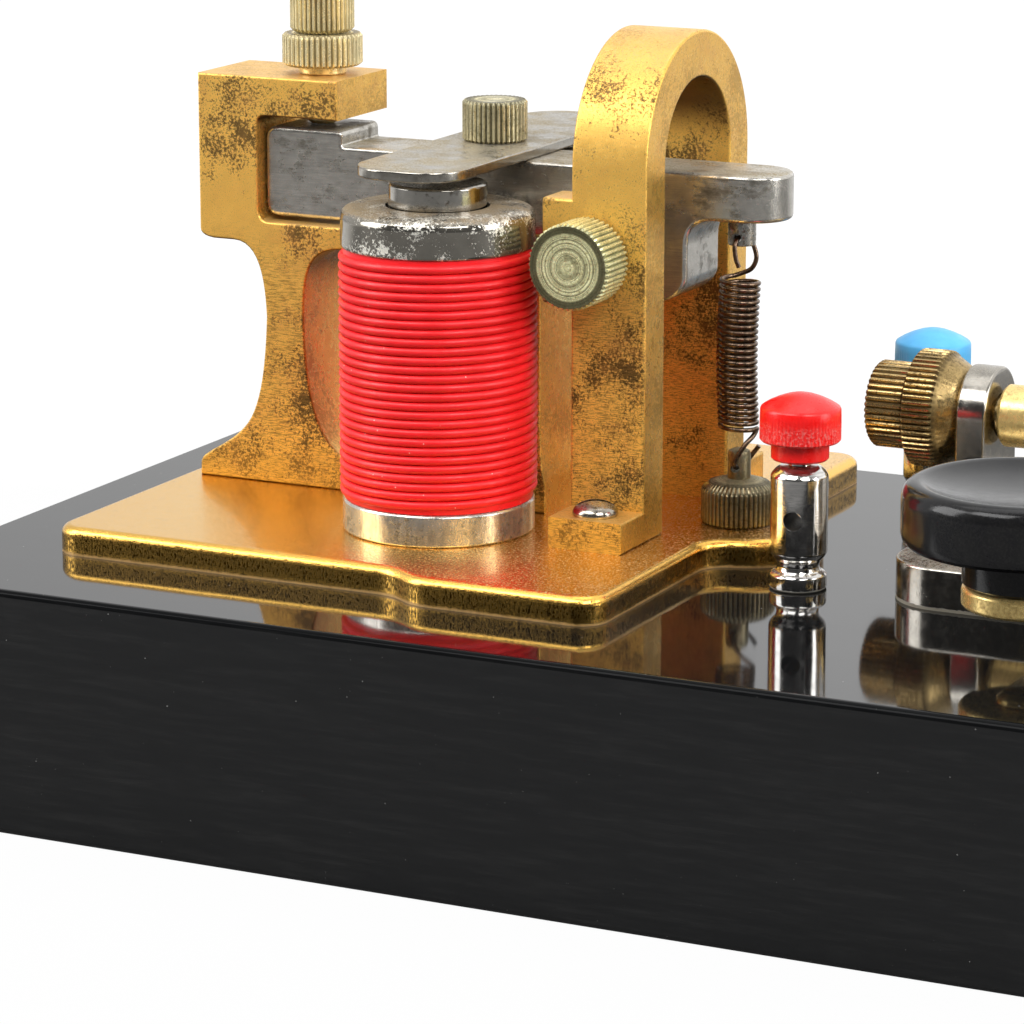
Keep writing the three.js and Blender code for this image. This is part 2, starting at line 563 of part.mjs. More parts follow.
for (const [color, place, finish] of [['red', redPostPlace, 'redPlastic'], ['blue', bluePostPlace, 'bluePlastic']]) {
  const spot = [place.x, place.y, board.height];
  add(assembly, `post_body_${color}`, makePostBody(), 'chrome', spot);
  add(assembly, `post_cap_${color}`, makePostCap(), finish, spot);
  add(assembly, `post_nut_${color}`, makePostNut(), 'brass', spot);
}

// ---------------------------------------------------------------- morse key

function keyBaseOutline() {
  const { half, wing, front, back, corner } = base;
  const shape = new THREE.Shape();
  const side = (sign) => [
    [sign * half, 2], [sign * wing, 8], [sign * wing, 24], [sign * half, 30],
  ];
  shape.absarc(-half + corner, front + corner, corner, Math.PI, 1.5 * Math.PI);
  shape.absarc(half - corner, front + corner, corner, 1.5 * Math.PI, 2 * Math.PI);
  side(1).forEach(([x, y]) => shape.lineTo(x, y));
  shape.absarc(half - corner, back - corner, corner, 0, 0.5 * Math.PI);
  shape.absarc(-half + corner, back - corner, corner, 0.5 * Math.PI, Math.PI);
  side(-1).reverse().forEach(([x, y]) => shape.lineTo(x, y));
  shape.closePath();
  return shape;
}

function makeKeyBase() {
  const b = base;
  const ear = new THREE.Shape();
  ear.moveTo(trunnion.y - b.earRadius, b.thickness - 1);
  ear.lineTo(trunnion.y + b.earRadius, b.thickness - 1);
  ear.absarc(trunnion.y, trunnion.z, b.earRadius, 0, Math.PI);
  ear.closePath();
  const body = join([
    raisedRound(keyBaseOutline(), 0, b.thickness, 0.4, 1, 3),
    lengthways(ear, -b.wing, -b.earInner, 10),
    lengthways(ear, b.earInner, b.wing, 10),
  ]);
  const screwHoles = Object.values(keyScrewSpots).map(([x, y]) => rod(underScrew.shank + clearance, -1, 4, sides.tiny).translate(x, y, 0));
  return cut(body, [
    alongX(rod(trunnion.shank + clearance, -40, 40)).translate(0, trunnion.y, trunnion.z),
    rod(contact.bush + clearance, -1, 8).translate(0, contact.y, 0),
    ...screwHoles,
  ]);
}
add(key, 'key_base', makeKeyBase(), 'nickel');

// The lever: a straight brass bar behind, a swan-neck drop in front and a round pad under the knob.
function makeKeyLever() {
  const top = trunnion.z + bar.thickness / 2;
  const bottom = trunnion.z - bar.thickness / 2;
  const shape = new THREE.Shape();
  shape.moveTo(bar.back, bottom);
  shape.lineTo(bar.back, top);
  shape.lineTo(0, top);
  shape.bezierCurveTo(-9, top, -10, bar.strapTop, -21, bar.strapTop);
  shape.lineTo(knob.y, bar.strapTop);
  shape.lineTo(knob.y, bar.strapBottom);
  shape.lineTo(-19, bar.strapBottom);
  shape.bezierCurveTo(-9, bar.strapBottom, -8, bottom, 0, bottom);
  shape.closePath();
  const body = join([
    lengthways(shape, -bar.half, bar.half),
    alongX(rod(trunnion.boss, -trunnion.bossEnd, trunnion.bossEnd, sides.medium)).translate(0, trunnion.y, trunnion.z),
    rod(bar.disc, bar.discBottom, bar.strapTop, sides.medium).translate(0, knob.y, 0),
  ]);
  const seat = rod(2.1, trunnion.bossEnd - 3, trunnion.bossEnd + 2);
  return cut(body, [
    alongX(seat.clone()).translate(0, trunnion.y, trunnion.z),
    alongX(seat.clone()).rotateZ(Math.PI).translate(0, trunnion.y, trunnion.z),
    ...[springScrew.y, backStop.y].map((y) => rod(smallScrew.shank + clearance, 0, 30, sides.tiny).translate(0, y, 0)),
    rod(contact.tip + clearance, 0, contact.tipTop + clearance, sides.tiny).translate(0, contact.y, 0),
    rod(1.6 + clearance, 0, 12, sides.tiny).translate(0, knob.y, 0),
  ]);
}
add(key, 'key_lever', makeKeyLever(), 'brass');

function makeKnob() {
  const { radius, rim, dish, top, neckTop, dishDepth } = knob;
  return turned([
    [0, top - dishDepth], [dish * 0.5, top - dishDepth * 0.85], [dish * 0.85, top - dishDepth * 0.35], [dish, top - 0.15],
    [rim, top], [radius - 0.5, top - 0.6], [radius, top - 1.6], [radius, neckTop + 1], [radius - 1, neckTop],
    [bar.disc, neckTop], [bar.disc, bar.strapTop], [1.9, bar.strapTop], [1.9, 15], [0, 15],
  ].reverse(), sides.large);
}
add(key, 'key_knob', makeKnob(), 'blackPlastic', [0, knob.y, 0]);

const knobScrewProfile = [
  [0, bar.discBottom - 1.3], [2.6, bar.discBottom - 1.3], [3.1, bar.discBottom - 0.05], [1.6, bar.discBottom - 0.05],
  [1.6, 14.6], [0, 14.6],
];
add(key, 'knob_screw', turned(knobScrewProfile, sides.small), 'brass', [0, knob.y, 0]);

function makeTrunnionScrew() {
  const t = trunnion;
  const profile = [[0, t.point], [t.pointRadius, t.point], [t.shank, t.pointEnd], [t.shank, t.headInner]];
  profile.push(...knurledProfile(t.head, t.headInner, t.headOuter, t.bevel), [0, t.headOuter]);
  return turned(profile);
}

function makeTrunnionNut() {
  const t = trunnion;
  const low = base.wing + 0.1;
  const bore = t.shank + clearance;
  return turned([
    [bore, low], [t.nut - t.coneStep, low], [t.nut, low + t.coneLength], [t.nut, t.nutOuter - t.bevel],
    [t.nut - t.bevel, t.nutOuter], [bore, t.nutOuter], [bore, low],
  ]);
}
const trunnionPlace = [0, trunnion.y, trunnion.z];
add(key, 'trunnion_screw_right', alongX(makeTrunnionScrew()), 'agedBrass', trunnionPlace);
add(key, 'trunnion_screw_left', alongX(makeTrunnionScrew()).rotateZ(Math.PI), 'agedBrass', trunnionPlace);
add(key, 'trunnion_nut_right', alongX(makeTrunnionNut()), 'agedBrass', trunnionPlace);
add(key, 'trunnion_nut_left', alongX(makeTrunnionNut()).rotateZ(Math.PI), 'agedBrass', trunnionPlace);

// Working contact: an insulated stud in the base, and a tip in the lever above it.
const bush = ring(contact.stud + clearance, contact.bush, pocketCeiling - 1.5, base.thickness + 0.8);
add(key, 'contact_bush', bush, 'blackPlastic', [0, contact.y, 0]);
const stud = turned([
  [0, pocketCeiling - 5], [contact.stud, pocketCeiling - 5], [contact.stud, contact.top - 0.6],
  [contact.stud - 0.6, contact.top], [0, contact.top],
], sides.small);
add(key, 'contact_stud', stud, 'brass', [0, contact.y, 0]);
const tipLow = contact.top + contact.gap;
const tip = turned([[0, tipLow], [1, tipLow], [contact.tip, tipLow + 0.5], [contact.tip, contact.tipTop], [0, contact.tipTop]], sides.small);
add(key, 'lever_contact', tip, 'chrome', [0, contact.y, 0]);

const barTop = trunnion.z + bar.thickness / 2;
const springBottom = base.thickness + 0.05;
const keySpringBody = ring(keySpring.outer - keySpring.wire, keySpring.outer, springBottom, springScrew.tip - 0.1, sides.small);
add(key, 'key_spring', keySpringBody, 'springSteel', [0, springScrew.y, 0]);

// Two small knurled screws through the lever, each with its own knurled lock nut.
function makeLeverScrew(tipProfile) {
  const low = barTop + smallScrew.nutHeight + 0.3;
  const high = low + smallScrew.headHeight;
  const profile = [...tipProfile, [smallScrew.shank, low]];
  profile.push(...knurledProfile(smallScrew.head, low, high, 0.4), [0, high]);
  return turned(profile, sides.small);
}

function makeLeverNut() {
  const bore = smallScrew.shank + clearance;
  const low = barTop + 0.05;
  const high = barTop + smallScrew.nutHeight;
  return turned([[bore, low], ...knurledProfile(smallScrew.nut, low, high, 0.4), [bore, high], [bore, low]], sides.small);
}

const springTip = [
  [0, springScrew.tip], [2.4, springScrew.tip], [2.4, springScrew.tip + 0.8], [smallScrew.shank, springScrew.tip + 0.8],
];
const stopTip = [[0, base.thickness + 0.1], [1, base.thickness + 0.1], [smallScrew.shank, base.thickness + 0.6]];
add(key, 'spring_screw', makeLeverScrew(springTip), 'agedBrass', [0, springScrew.y, 0]);
add(key, 'spring_screw_nut', makeLeverNut(), 'agedBrass', [0, springScrew.y, 0]);
add(key, 'back_stop_screw', makeLeverScrew(stopTip), 'agedBrass', [0, backStop.y, 0]);
add(key, 'back_stop_nut', makeLeverNut(), 'agedBrass', [0, backStop.y, 0]);
for (const [side, [x, y]] of Object.entries(keyScrewSpots)) {
  add(key, `key_base_screw_${side}`, makeUnderScrew(3.4), 'steel', [x, y, 0]);
}

// ---------------------------------------------------------------- link wires in the pocket

// Each wire is a straight-sided run beside the studs, at one depth in the pocket.
function makeWire(points) {
  const route = points.map(([x, y]) => new THREE.Vector3(x, y, linkWire.depth));
  const section = new THREE.Shape();
  section.absarc(0, 0, linkWire.radius, 0, 2 * Math.PI);
  const path = new THREE.CatmullRomCurve3(route, false, 'centripetal');
  return new THREE.ExtrudeGeometry(section, { extrudePath: path, steps: 20, curveSegments: 2, bevelEnabled: false });
}
const [frontCoil, backCoil] = coilScrewPlaces;
const leftKeyScrew = keyScrewPlaces[0];
const away = 4.6;
const wireRoutes = {
  wire_red_to_coil: [
    [redPostPlace.x - away, redPostPlace.y], [-8, -14], [-24, -17], [frontCoil.x + away, frontCoil.y],
  ],
  wire_coil_link: [
    [frontCoil.x, frontCoil.y + away], [frontCoil.x - 3, 0], [frontCoil.x - 3, 10], [backCoil.x, backCoil.y - away],
  ],
  wire_coil_to_key: [
    [backCoil.x + away, backCoil.y], [-10, 20], [16, 8], [contactPlace.x - 6, contactPlace.y],
  ],
  wire_key_to_blue: [
    [leftKeyScrew.x - away, leftKeyScrew.y - 2], [18, 30], [bluePostPlace.x + away, bluePostPlace.y - 2],
  ],
};
for (const [name, points] of Object.entries(wireRoutes)) {
  add(assembly, name, makeWire(points), 'redWire');
}

export default assembly;
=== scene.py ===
"""Looks for a telegraph sounder and morse key on one lacquered board.

Shapes are written in millimetres in each instrument's own frame, and made into metres when a piece is made.
"""
import json
import math

import bmesh
import bpy
from mathutils import Matrix, Vector


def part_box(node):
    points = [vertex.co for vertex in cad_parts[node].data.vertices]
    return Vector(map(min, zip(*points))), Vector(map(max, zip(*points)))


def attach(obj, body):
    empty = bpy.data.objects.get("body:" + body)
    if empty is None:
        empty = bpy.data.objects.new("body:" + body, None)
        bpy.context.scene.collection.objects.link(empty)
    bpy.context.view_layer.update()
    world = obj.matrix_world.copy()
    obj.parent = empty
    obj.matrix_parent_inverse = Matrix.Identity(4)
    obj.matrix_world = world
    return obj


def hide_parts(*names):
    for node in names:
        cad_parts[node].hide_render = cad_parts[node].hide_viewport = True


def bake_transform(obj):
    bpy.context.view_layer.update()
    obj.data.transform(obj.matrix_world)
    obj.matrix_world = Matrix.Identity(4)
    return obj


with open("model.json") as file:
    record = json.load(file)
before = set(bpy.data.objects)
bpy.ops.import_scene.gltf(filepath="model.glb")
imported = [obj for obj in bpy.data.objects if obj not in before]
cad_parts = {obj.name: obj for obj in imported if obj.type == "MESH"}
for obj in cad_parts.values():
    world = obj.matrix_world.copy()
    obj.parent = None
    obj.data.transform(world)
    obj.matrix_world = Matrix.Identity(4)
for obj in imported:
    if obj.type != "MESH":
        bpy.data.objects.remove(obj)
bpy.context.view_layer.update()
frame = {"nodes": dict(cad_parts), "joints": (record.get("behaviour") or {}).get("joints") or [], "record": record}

MM = 0.001
TAU = 2 * math.pi


# ---------------------------------------------------------------- places, from the frame

def lowest(node):
    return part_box(node)[0] / MM


def highest(node):
    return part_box(node)[1] / MM


def middle(node):
    return (lowest(node) + highest(node)) / 2


def joint_place(name):
    found = next(joint for joint in frame["joints"] if joint["name"] == name)
    return Vector(found["pos_m"]) / MM


board_low, board_high = lowest("board"), highest("board")
board_top = board_high.z
PIVOT = Vector((19.6, 0, 38.55))
TRUNNION = Vector((0, 16, 16.95))
sounder_at = joint_place("sounder_lever_pivot") - PIVOT
key_at = joint_place("key_lever_pivot") - TRUNNION


def in_sounder(x, y=0, z=0):
    return sounder_at + Vector((x, y, z))


def in_key(y):
    return key_at + Vector((0, y, 0))


behaviour = frame["record"]["behaviour"]
body_of = {node: body for body, nodes in behaviour["bodies"].items() for node in nodes}

# Knurled heads: radius, number of teeth and depth of the teeth.
KNURLS = {
    "arm_screw": (4.15, 38, 0.36), "stop_screw": (4.15, 37, 0.42), "stop_nut": (5.2, 42, 0.4),
    "pivot": (5.35, 48, 0.34), "adjuster": (4.75, 46, 0.24), "trunnion_head": (5.55, 40, 0.36),
    "trunnion_nut": (7.5, 58, 0.38), "small_head": (3.6, 28, 0.3), "small_nut": (4.2, 32, 0.34),
}


# ---------------------------------------------------------------- outlines

def on_circle(radius, angle, centre=(0, 0)):
    return (centre[0] + radius * math.cos(angle), centre[1] + radius * math.sin(angle))


class Outline:
    """A closed outline made of lines, arcs and curves."""

    def __init__(self, start=None):
        self.points = [tuple(start)] if start else []

    def line(self, *points):
        self.points += [tuple(point) for point in points]
        return self

    def arc(self, centre, radius, start, end, steps=10):
        for i in range(steps + 1):
            angle = math.radians(start + (end - start) * i / steps)
            self.points.append(on_circle(radius, angle, centre))
        return self

    def curve(self, first, second, end, steps=12):
        origin = self.points[-1]
        for i in range(1, steps + 1):
            t = i / steps
            weights = ((1 - t) ** 3, 3 * t * (1 - t) ** 2, 3 * t * t * (1 - t), t ** 3)
            corners = (origin, first, second, end)
            self.points.append(tuple(sum(w * c[k] for w, c in zip(weights, corners)) for k in (0, 1)))
        return self

    def bend(self, corner, end, steps=5):
        """A quadratic curve round a corner."""
        start = self.points[-1]
        first = [start[k] + (corner[k] - start[k]) * 2 / 3 for k in (0, 1)]
        second = [end[k] + (corner[k] - end[k]) * 2 / 3 for k in (0, 1)]
        return self.curve(first, second, end, steps)


def rounded_box(left, right, front, back, radius, steps=8):
    shape = Outline()
    shape.arc((left + radius, front + radius), radius, 180, 270, steps)
    shape.arc((right - radius, front + radius), radius, 270, 360, steps)
    shape.arc((right - radius, back - radius), radius, 0, 90, steps)
    shape.arc((left + radius, back - radius), radius, 90, 180, steps)
    return shape


# ---------------------------------------------------------------- meshes

PLANES = {
    "XY": Matrix.Identity(4),
    "XZ": Matrix(((1, 0, 0, 0), (0, 0, -1, 0), (0, 1, 0, 0), (0, 0, 0, 1))),
    "YZ": Matrix(((0, 0, 1, 0), (1, 0, 0, 0), (0, 1, 0, 0), (0, 0, 0, 1))),
}


def slab(outlines, low, high, edge=0.4, plane="XY", steps=3, foot=False):
    """An outline and its holes with a thickness and rounded edges. A foot keeps its lower edge square."""
    curve = bpy.data.curves.new("outline", "CURVE")
    curve.dimensions = "2D"
    curve.fill_mode = "BOTH"
    bottom = low - edge if foot else low
    curve.extrude = (high - bottom) / 2 - edge
    curve.bevel_depth = edge
    curve.bevel_resolution = steps
    curve.offset = -edge
    for outline in outlines:
        spline = curve.splines.new("POLY")
        spline.points.add(len(outline.points) - 1)
        for point, (x, y) in zip(spline.points, outline.points):
            point.co = (x, y, 0, 1)
        spline.use_cyclic_u = True
    holder = bpy.data.objects.new("outline", curve)
    bpy.context.scene.collection.objects.link(holder)
    bpy.context.view_layer.update()
    graph = bpy.context.evaluated_depsgraph_get()
    mesh = bpy.data.meshes.new_from_object(holder.evaluated_get(graph))
    bpy.data.objects.remove(holder)
    shift = (bottom + high) / 2
    mesh.transform(Matrix.Translation((0, 0, shift if plane != "XZ" else -shift)))
    if foot:
        for vertex in mesh.vertices:
            vertex.co.z = max(vertex.co.z, low)
    mesh.transform(PLANES[plane])
    welded(mesh, 0.001)
    return mesh


def welded(mesh, distance):
    work = bmesh.new()
    work.from_mesh(mesh)
    bmesh.ops.remove_doubles(work, verts=work.verts, dist=distance)
    bmesh.ops.recalc_face_normals(work, faces=work.faces)
    work.to_mesh(mesh)
    work.free()


def soften(profile, radius=0.25, steps=3):
    """Rounds the corners of a turned profile."""
    closed = profile[0] == profile[-1]
    body = profile[:-1] if closed else profile
    rounded = []
    count = len(body)
    for i, point in enumerate(body):
        if not closed and i in (0, count - 1):
            rounded.append(point)
            continue
        here = Vector(point)
        before, after = Vector(body[i - 1]), Vector(body[(i + 1) % count])
        reach = min(radius, (before - here).length * 0.45, (after - here).length * 0.45)
        if reach < 0.02:
            rounded.append(point)
            continue
        a = here + (before - here).normalized() * reach
        b = here + (after - here).normalized() * reach
        for k in range(steps + 1):
            t = k / steps
            rounded.append(tuple(a * (1 - t) ** 2 + here * 2 * t * (1 - t) + b * t * t))
    return rounded + [rounded[0]] if closed else rounded


def tooth(share):
    """How deep a knurl is, from 0 on a ridge to 1 in a groove."""
    return max(0.0, (0.3 - 0.5 * math.cos(TAU * share)) / 0.8)


def turned(profile, segments=96, knurl=None):
    """A turned piece about Z. A knurl is (teeth, depth, low, high): straight ridges between two heights."""
    if knurl:
        teeth, depth, low, high = knurl
        segments = teeth * 6
    work = bmesh.new()
    rings = []
    closed = profile[0] == profile[-1]
    points = profile[:-1] if closed else profile
    widest = max(r for r, _ in points)
    for r, z in points:
        if r < 1e-6:
            rings.append([work.verts.new((0, 0, z))])
            continue
        row = []
        for k in range(segments):
            angle = TAU * k / segments
            radius = r
            if knurl and low <= z <= high and r > widest - 0.5:
                radius = r - depth * tooth(teeth * k / segments)
            row.append(work.verts.new((*on_circle(radius, angle), z)))
        rings.append(row)
    if closed:
        rings.append(rings[0])
    for below, above in zip(rings, rings[1:]):
        for k in range(segments):
            after = (k + 1) % segments
            corners = [below[k % len(below)], below[after % len(below)]]
            corners += [above[after % len(above)], above[k % len(above)]]
            corners = list(dict.fromkeys(corners))
            if len(corners) > 2:
                work.faces.new(corners)
    mesh = bpy.data.meshes.new("turned")
    bmesh.ops.recalc_face_normals(work, faces=work.faces)
    work.to_mesh(mesh)
    work.free()
    return mesh


def ridges(radius, low, high, bevel, rows=4):
    """The outer profile of a knurled head, with enough rows between its two bevels."""
    inner = [(radius, low + bevel + (high - low - 2 * bevel) * k / rows) for k in range(rows + 1)]
    return [(radius - bevel, low)] + inner + [(radius - bevel, high)]


def tube(points, radius, sides=10):
    """A round wire along points, closed at both ends."""
    path = [Vector(point) for point in points]
    work = bmesh.new()
    rows = []
    normal = None
    for i, here in enumerate(path):
        along = (path[min(i + 1, len(path) - 1)] - path[max(i - 1, 0)]).normalized()
        if normal is None:
            normal = along.orthogonal().normalized()
        normal = (normal - along * normal.dot(along)).normalized()
        side = along.cross(normal)
        row = []
        for k in range(sides):
            angle = TAU * k / sides
            row.append(work.verts.new(here + radius * (normal * math.cos(angle) + side * math.sin(angle))))
        rows.append(row)
    for below, above in zip(rows, rows[1:]):
        for k in range(sides):
            after = (k + 1) % sides
            work.faces.new((below[k], below[after], above[after], above[k]))
    work.faces.new(list(reversed(rows[0])))
    work.faces.new(rows[-1])
    bmesh.ops.recalc_face_normals(work, faces=work.faces)
    mesh = bpy.data.meshes.new("tube")
    work.to_mesh(mesh)
    work.free()
    return mesh


def smooth_path(points, per_span=8):
    """A curve through given points."""
    path = [Vector(point) for point in points]
    ends = [path[0] * 2 - path[1]] + path + [path[-1] * 2 - path[-2]]
    result = []
    for a, b, c, d in zip(ends, ends[1:], ends[2:], ends[3:]):
        for k in range(per_span):
            t = k / per_span
            spread = 2 * b + (c - a) * t
            spread += (2 * a - 5 * b + 4 * c - d) * t * t
            spread += (3 * b - a - 3 * c + d) * t ** 3
            result.append(spread / 2)
    return result + [path[-1]]


def holder_of(mesh):
    holder = bpy.data.objects.new("work", mesh)
    bpy.context.scene.collection.objects.link(holder)
    return holder


def combined(mesh, tools, operation):
    """The mesh after each tool has been cut from it, joined to it or kept in common with it."""
    body = holder_of(mesh)
    others = [holder_of(tool) for tool in tools]
    for other in others:
        step = body.modifiers.new("step", "BOOLEAN")
        step.operation = operation
        step.solver = "EXACT"
        step.object = other
    bpy.context.view_layer.update()
    graph = bpy.context.evaluated_depsgraph_get()
    result = bpy.data.meshes.new_from_object(body.evaluated_get(graph))
    for helper in [body] + others:
        bpy.data.objects.remove(helper)
    return result


def cut(mesh, *tools):
    return combined(mesh, tools, "DIFFERENCE")


def joined(mesh, *tools):
    return combined(mesh, tools, "UNION")


def kept(mesh, *tools):
    return combined(mesh, tools, "INTERSECT")


def loose(*meshes):
    """Several closed bodies in one mesh."""
    work = bmesh.new()
    for mesh in meshes:
        work.from_mesh(mesh)
    result = bpy.data.meshes.new("loose")
    work.to_mesh(result)
    work.free()
    return result


def rod(radius, low, high, segments=48):
    return turned([(0, low), (radius, low), (radius, high), (0, high)], segments)


def box(low, high):
    outline = Outline((low[0], low[1])).line((high[0], low[1]), (high[0], high[1]), (low[0], high[1]))
    return slab([outline], low[2], high[2], 0.0)


def moved(mesh, *offset):
    mesh.transform(Matrix.Translation(offset))
    return mesh


def spun(mesh, degrees, axis):
    mesh.transform(Matrix.Rotation(math.radians(degrees), 4, axis))
    return mesh


def cross_hole(radius, reach, at, axis="X", segments=48):
    """A rod that cuts a hole from side to side. It starts along Z and is turned about the axis."""
    return moved(spun(rod(radius, -reach, reach, segments), 90, axis), *at)


def knurled(name, low, high, bevel, shank=(), crown=0.0, face=0.0):
    """A knurled head from low to high. The shank is the profile below it, and the crown lifts its middle.

    face is the height of a smooth border that the teeth leave at the outer end.
    """
    radius, teeth, depth = KNURLS[name]
    profile = list(shank) + ridges(radius, low, high, bevel)
    if crown:
        profile += [(radius * 0.5, high + crown * 0.8)]
    profile += [(0, high + crown)]
    return turned(profile, knurl=(teeth, depth, low, high - face))


ALONG = {
    "+Z": Matrix.Identity(4),
    "-Z": Matrix.Rotation(math.pi, 4, "X"),
    "+X": Matrix.Rotation(math.pi / 2, 4, "Y"),
    "-X": Matrix.Rotation(-math.pi / 2, 4, "Y"),
    "+Y": Matrix.Rotation(-math.pi / 2, 4, "X"),
    "-Y": Matrix.Rotation(math.pi / 2, 4, "X"),
}


def piece(name, mesh, material, node, at=(0, 0, 0), along="+Z", crease=32, stretched=None):
    """A finished piece in place, standing for one CAD node.

    It rides on the node's body, unless it is stretched. A stretched piece is a wire between two bodies, given as
    (body, body, start, end); it is baked in place on neither body, and the tuple is read only to tell that it is
    stretched.
    """
    mesh.name = name
    mesh.transform(Matrix.Scale(MM, 4))
    mesh.polygons.foreach_set("use_smooth", [True] * len(mesh.polygons))
    mesh.set_sharp_from_angle(angle=math.radians(crease))
    thing = bpy.data.objects.new(name, mesh)
    bpy.context.scene.collection.objects.link(thing)
    thing.matrix_world = Matrix.Translation(Vector(at) * MM) @ ALONG[along]
    mesh.materials.clear()
    mesh.materials.append(material)
    weighted = thing.modifiers.new("normals", "WEIGHTED_NORMAL")
    weighted.keep_sharp = True
    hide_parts(node)
    if stretched:
        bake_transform(thing)
    else:
        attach(thing, body_of[node])


# ---------------------------------------------------------------- material nodes

class Nodes:
    """A node tree, and short calls that add and wire nodes."""

    def __init__(self, owner):
        owner.use_nodes = True
        self.tree = owner.node_tree
        self.tree.nodes.clear()

    def add(self, kind, inputs=None, **settings):
        node = self.tree.nodes.new("ShaderNode" + kind)
        for key, value in settings.items():
            setattr(node, key, value)
        for key, value in (inputs or {}).items():
            self.feed(node.inputs[key], value)
        return node

    def feed(self, socket, value):
        if isinstance(value, bpy.types.Node):
            value = value.outputs[0]
        if isinstance(value, bpy.types.NodeSocket):
            self.tree.links.new(value, socket)
        elif isinstance(value, (tuple, list)) and socket.type == "RGBA":
            socket.default_value = (*value, 1)
        else:
            socket.default_value = value

    def gradient(self, where, direction, low, high, to_low, to_high):
        """A value that changes evenly along a direction."""
        along = self.add("VectorMath", {0: where, 1: direction}, operation="DOT_PRODUCT").outputs["Value"]
        inputs = {"Value": along, "From Min": low, "From Max": high, "To Min": to_low, "To Max": to_high}
        return self.add("MapRange", inputs).outputs[0]


class Look(Nodes):
    """The nodes of one material, with a principled shader as its surface."""

    def __init__(self, name):
        self.material = bpy.data.materials.new(name)
        super().__init__(self.material)
        self.surface = self.add("BsdfPrincipled")
        self.add("OutputMaterial", {0: self.surface})
        here = self.add("TexCoord")
        self.mm = self.add("VectorMath", {0: here.outputs["Object"], "Scale": 1 / MM}, operation="SCALE")
        place = self.add("SeparateXYZ", {0: self.mm})
        self.from_left, self.level = place.outputs[0], place.outputs[2]
        facing = self.add("SeparateXYZ", {0: self.add("NewGeometry").outputs["Normal"]})
        self.ahead, self.up = facing.outputs[1], facing.outputs[2]
        self.axial = self.add("SeparateXYZ", {0: here.outputs["Normal"]}).outputs[2]

    def place(self, scale=(1, 1, 1), shift=(0, 0, 0)):
        return self.add("Mapping", {"Vector": self.mm, "Scale": scale, "Location": shift})

    def noise(self, scale, detail=5, rough=0.6, stretch=(1, 1, 1), shift=(0, 0, 0)):
        """Noise whose scale is in features per millimetre."""
        inputs = {"Vector": self.place(stretch, shift), "Scale": scale, "Detail": detail, "Roughness": rough}
        return self.add("TexNoise", inputs).outputs["Fac"]

    def dots(self, scale, size, shift=(0, 0, 0)):
        """Small round specks: 1 inside a speck, 0 outside."""
        cells = self.add("TexVoronoi", {"Vector": self.place(shift=shift), "Scale": scale})
        return self.range(cells.outputs["Distance"], size, size * 0.6)

    def range(self, value, low, high, to_low=0.0, to_high=1.0):
        inputs = {"Value": value, "From Min": low, "From Max": high, "To Min": to_low, "To Max": to_high}
        return self.add("MapRange", inputs, interpolation_type="SMOOTHSTEP").outputs[0]

    def reach(self):
        """The distance from the piece's own axis in millimetres."""
        flat = self.add("VectorMath", {0: self.mm, 1: (1, 1, 0)}, operation="MULTIPLY")
        return self.add("VectorMath", {0: flat}, operation="LENGTH").outputs["Value"]

    def maths(self, operation, first, *others):
        """One operation on two or more values, from left to right."""
        for other in others or (0.0,):
            first = self.add("Math", {0: first, 1: other}, operation=operation).outputs[0]
        return first

    def times(self, *values):
        return self.maths("MULTIPLY", *values)

    def plus(self, *values):
        return self.maths("ADD", *values)

    def rest(self, share):
        return self.maths("SUBTRACT", 1.0, share)

    def size(self, value):
        return self.maths("ABSOLUTE", value)

    def mix(self, share, first, second):
        node = self.add("Mix", data_type="RGBA")
        for socket, value in ((0, share), (6, first), (7, second)):
            self.feed(node.inputs[socket], value)
        return node.outputs[2]

    def blend(self, share, first, second):
        return self.add("Mix", {0: share, 2: first, 3: second}).outputs[0]

    def shaded(self, color, value):
        """The colour made lighter or darker."""
        return self.add("HueSaturation", {"Color": color, "Value": value}).outputs[0]

    def rough_line(self, scale, spread):
        """The height above the board in millimetres, made uneven by noise."""
        return self.plus(self.level, self.times(self.noise(scale, 4, 0.7), spread))

    def relief(self, height, distance):
        inputs = {"Height": height, "Distance": distance * MM, "Strength": 1.0}
        return self.add("Bump", inputs).outputs[0]

    def finish(self, **sockets):
        for key, value in sockets.items():
            self.feed(self.surface.inputs[key.replace("_", " ")], value)
        return self.material


def scaled(color, factor):
    return tuple(factor * part for part in color)


def knurl_dirt(look, radius, depth):
    """The share of dirt in a knurl's grooves, away from the faces square to the axis."""
    deep = look.range(look.reach(), radius - depth * 0.35, radius - depth * 0.85)
    standing = look.range(look.size(look.axial), 0.8, 0.5)
    outermost = look.range(look.reach(), radius - depth * 2.2, radius - depth * 1.3)
    return look.times(deep, standing, outermost, 0.7)


def bore_shade_mask(look, radius, low, high):
    """Painted shade inside a cross hole: 1 closer to the axis than the radius and between the two heights."""
    edge = 0.1
    deep = look.range(look.reach(), radius, radius - 0.12)
    above = look.range(look.level, low - edge, low)
    below = look.range(look.level, high + edge, high)
    return look.times(deep, above, below)


def dust_cover(look, amount):
    """The share of dust on the faces that look up, in grains and drifts."""
    facing = look.range(look.up, 0.55, 0.95)
    grains = look.range(look.noise(4.0, 4, 0.75, shift=(3, 3, 3)), 0.44, 0.62, 0.25, 1)
    drift = look.range(look.noise(0.16, 4, 0.6, shift=(5, 8, 1)), 0.34, 0.66, 0.15, 1)
    return look.maths("MINIMUM", look.times(facing, grains, drift, amount), 1.0)


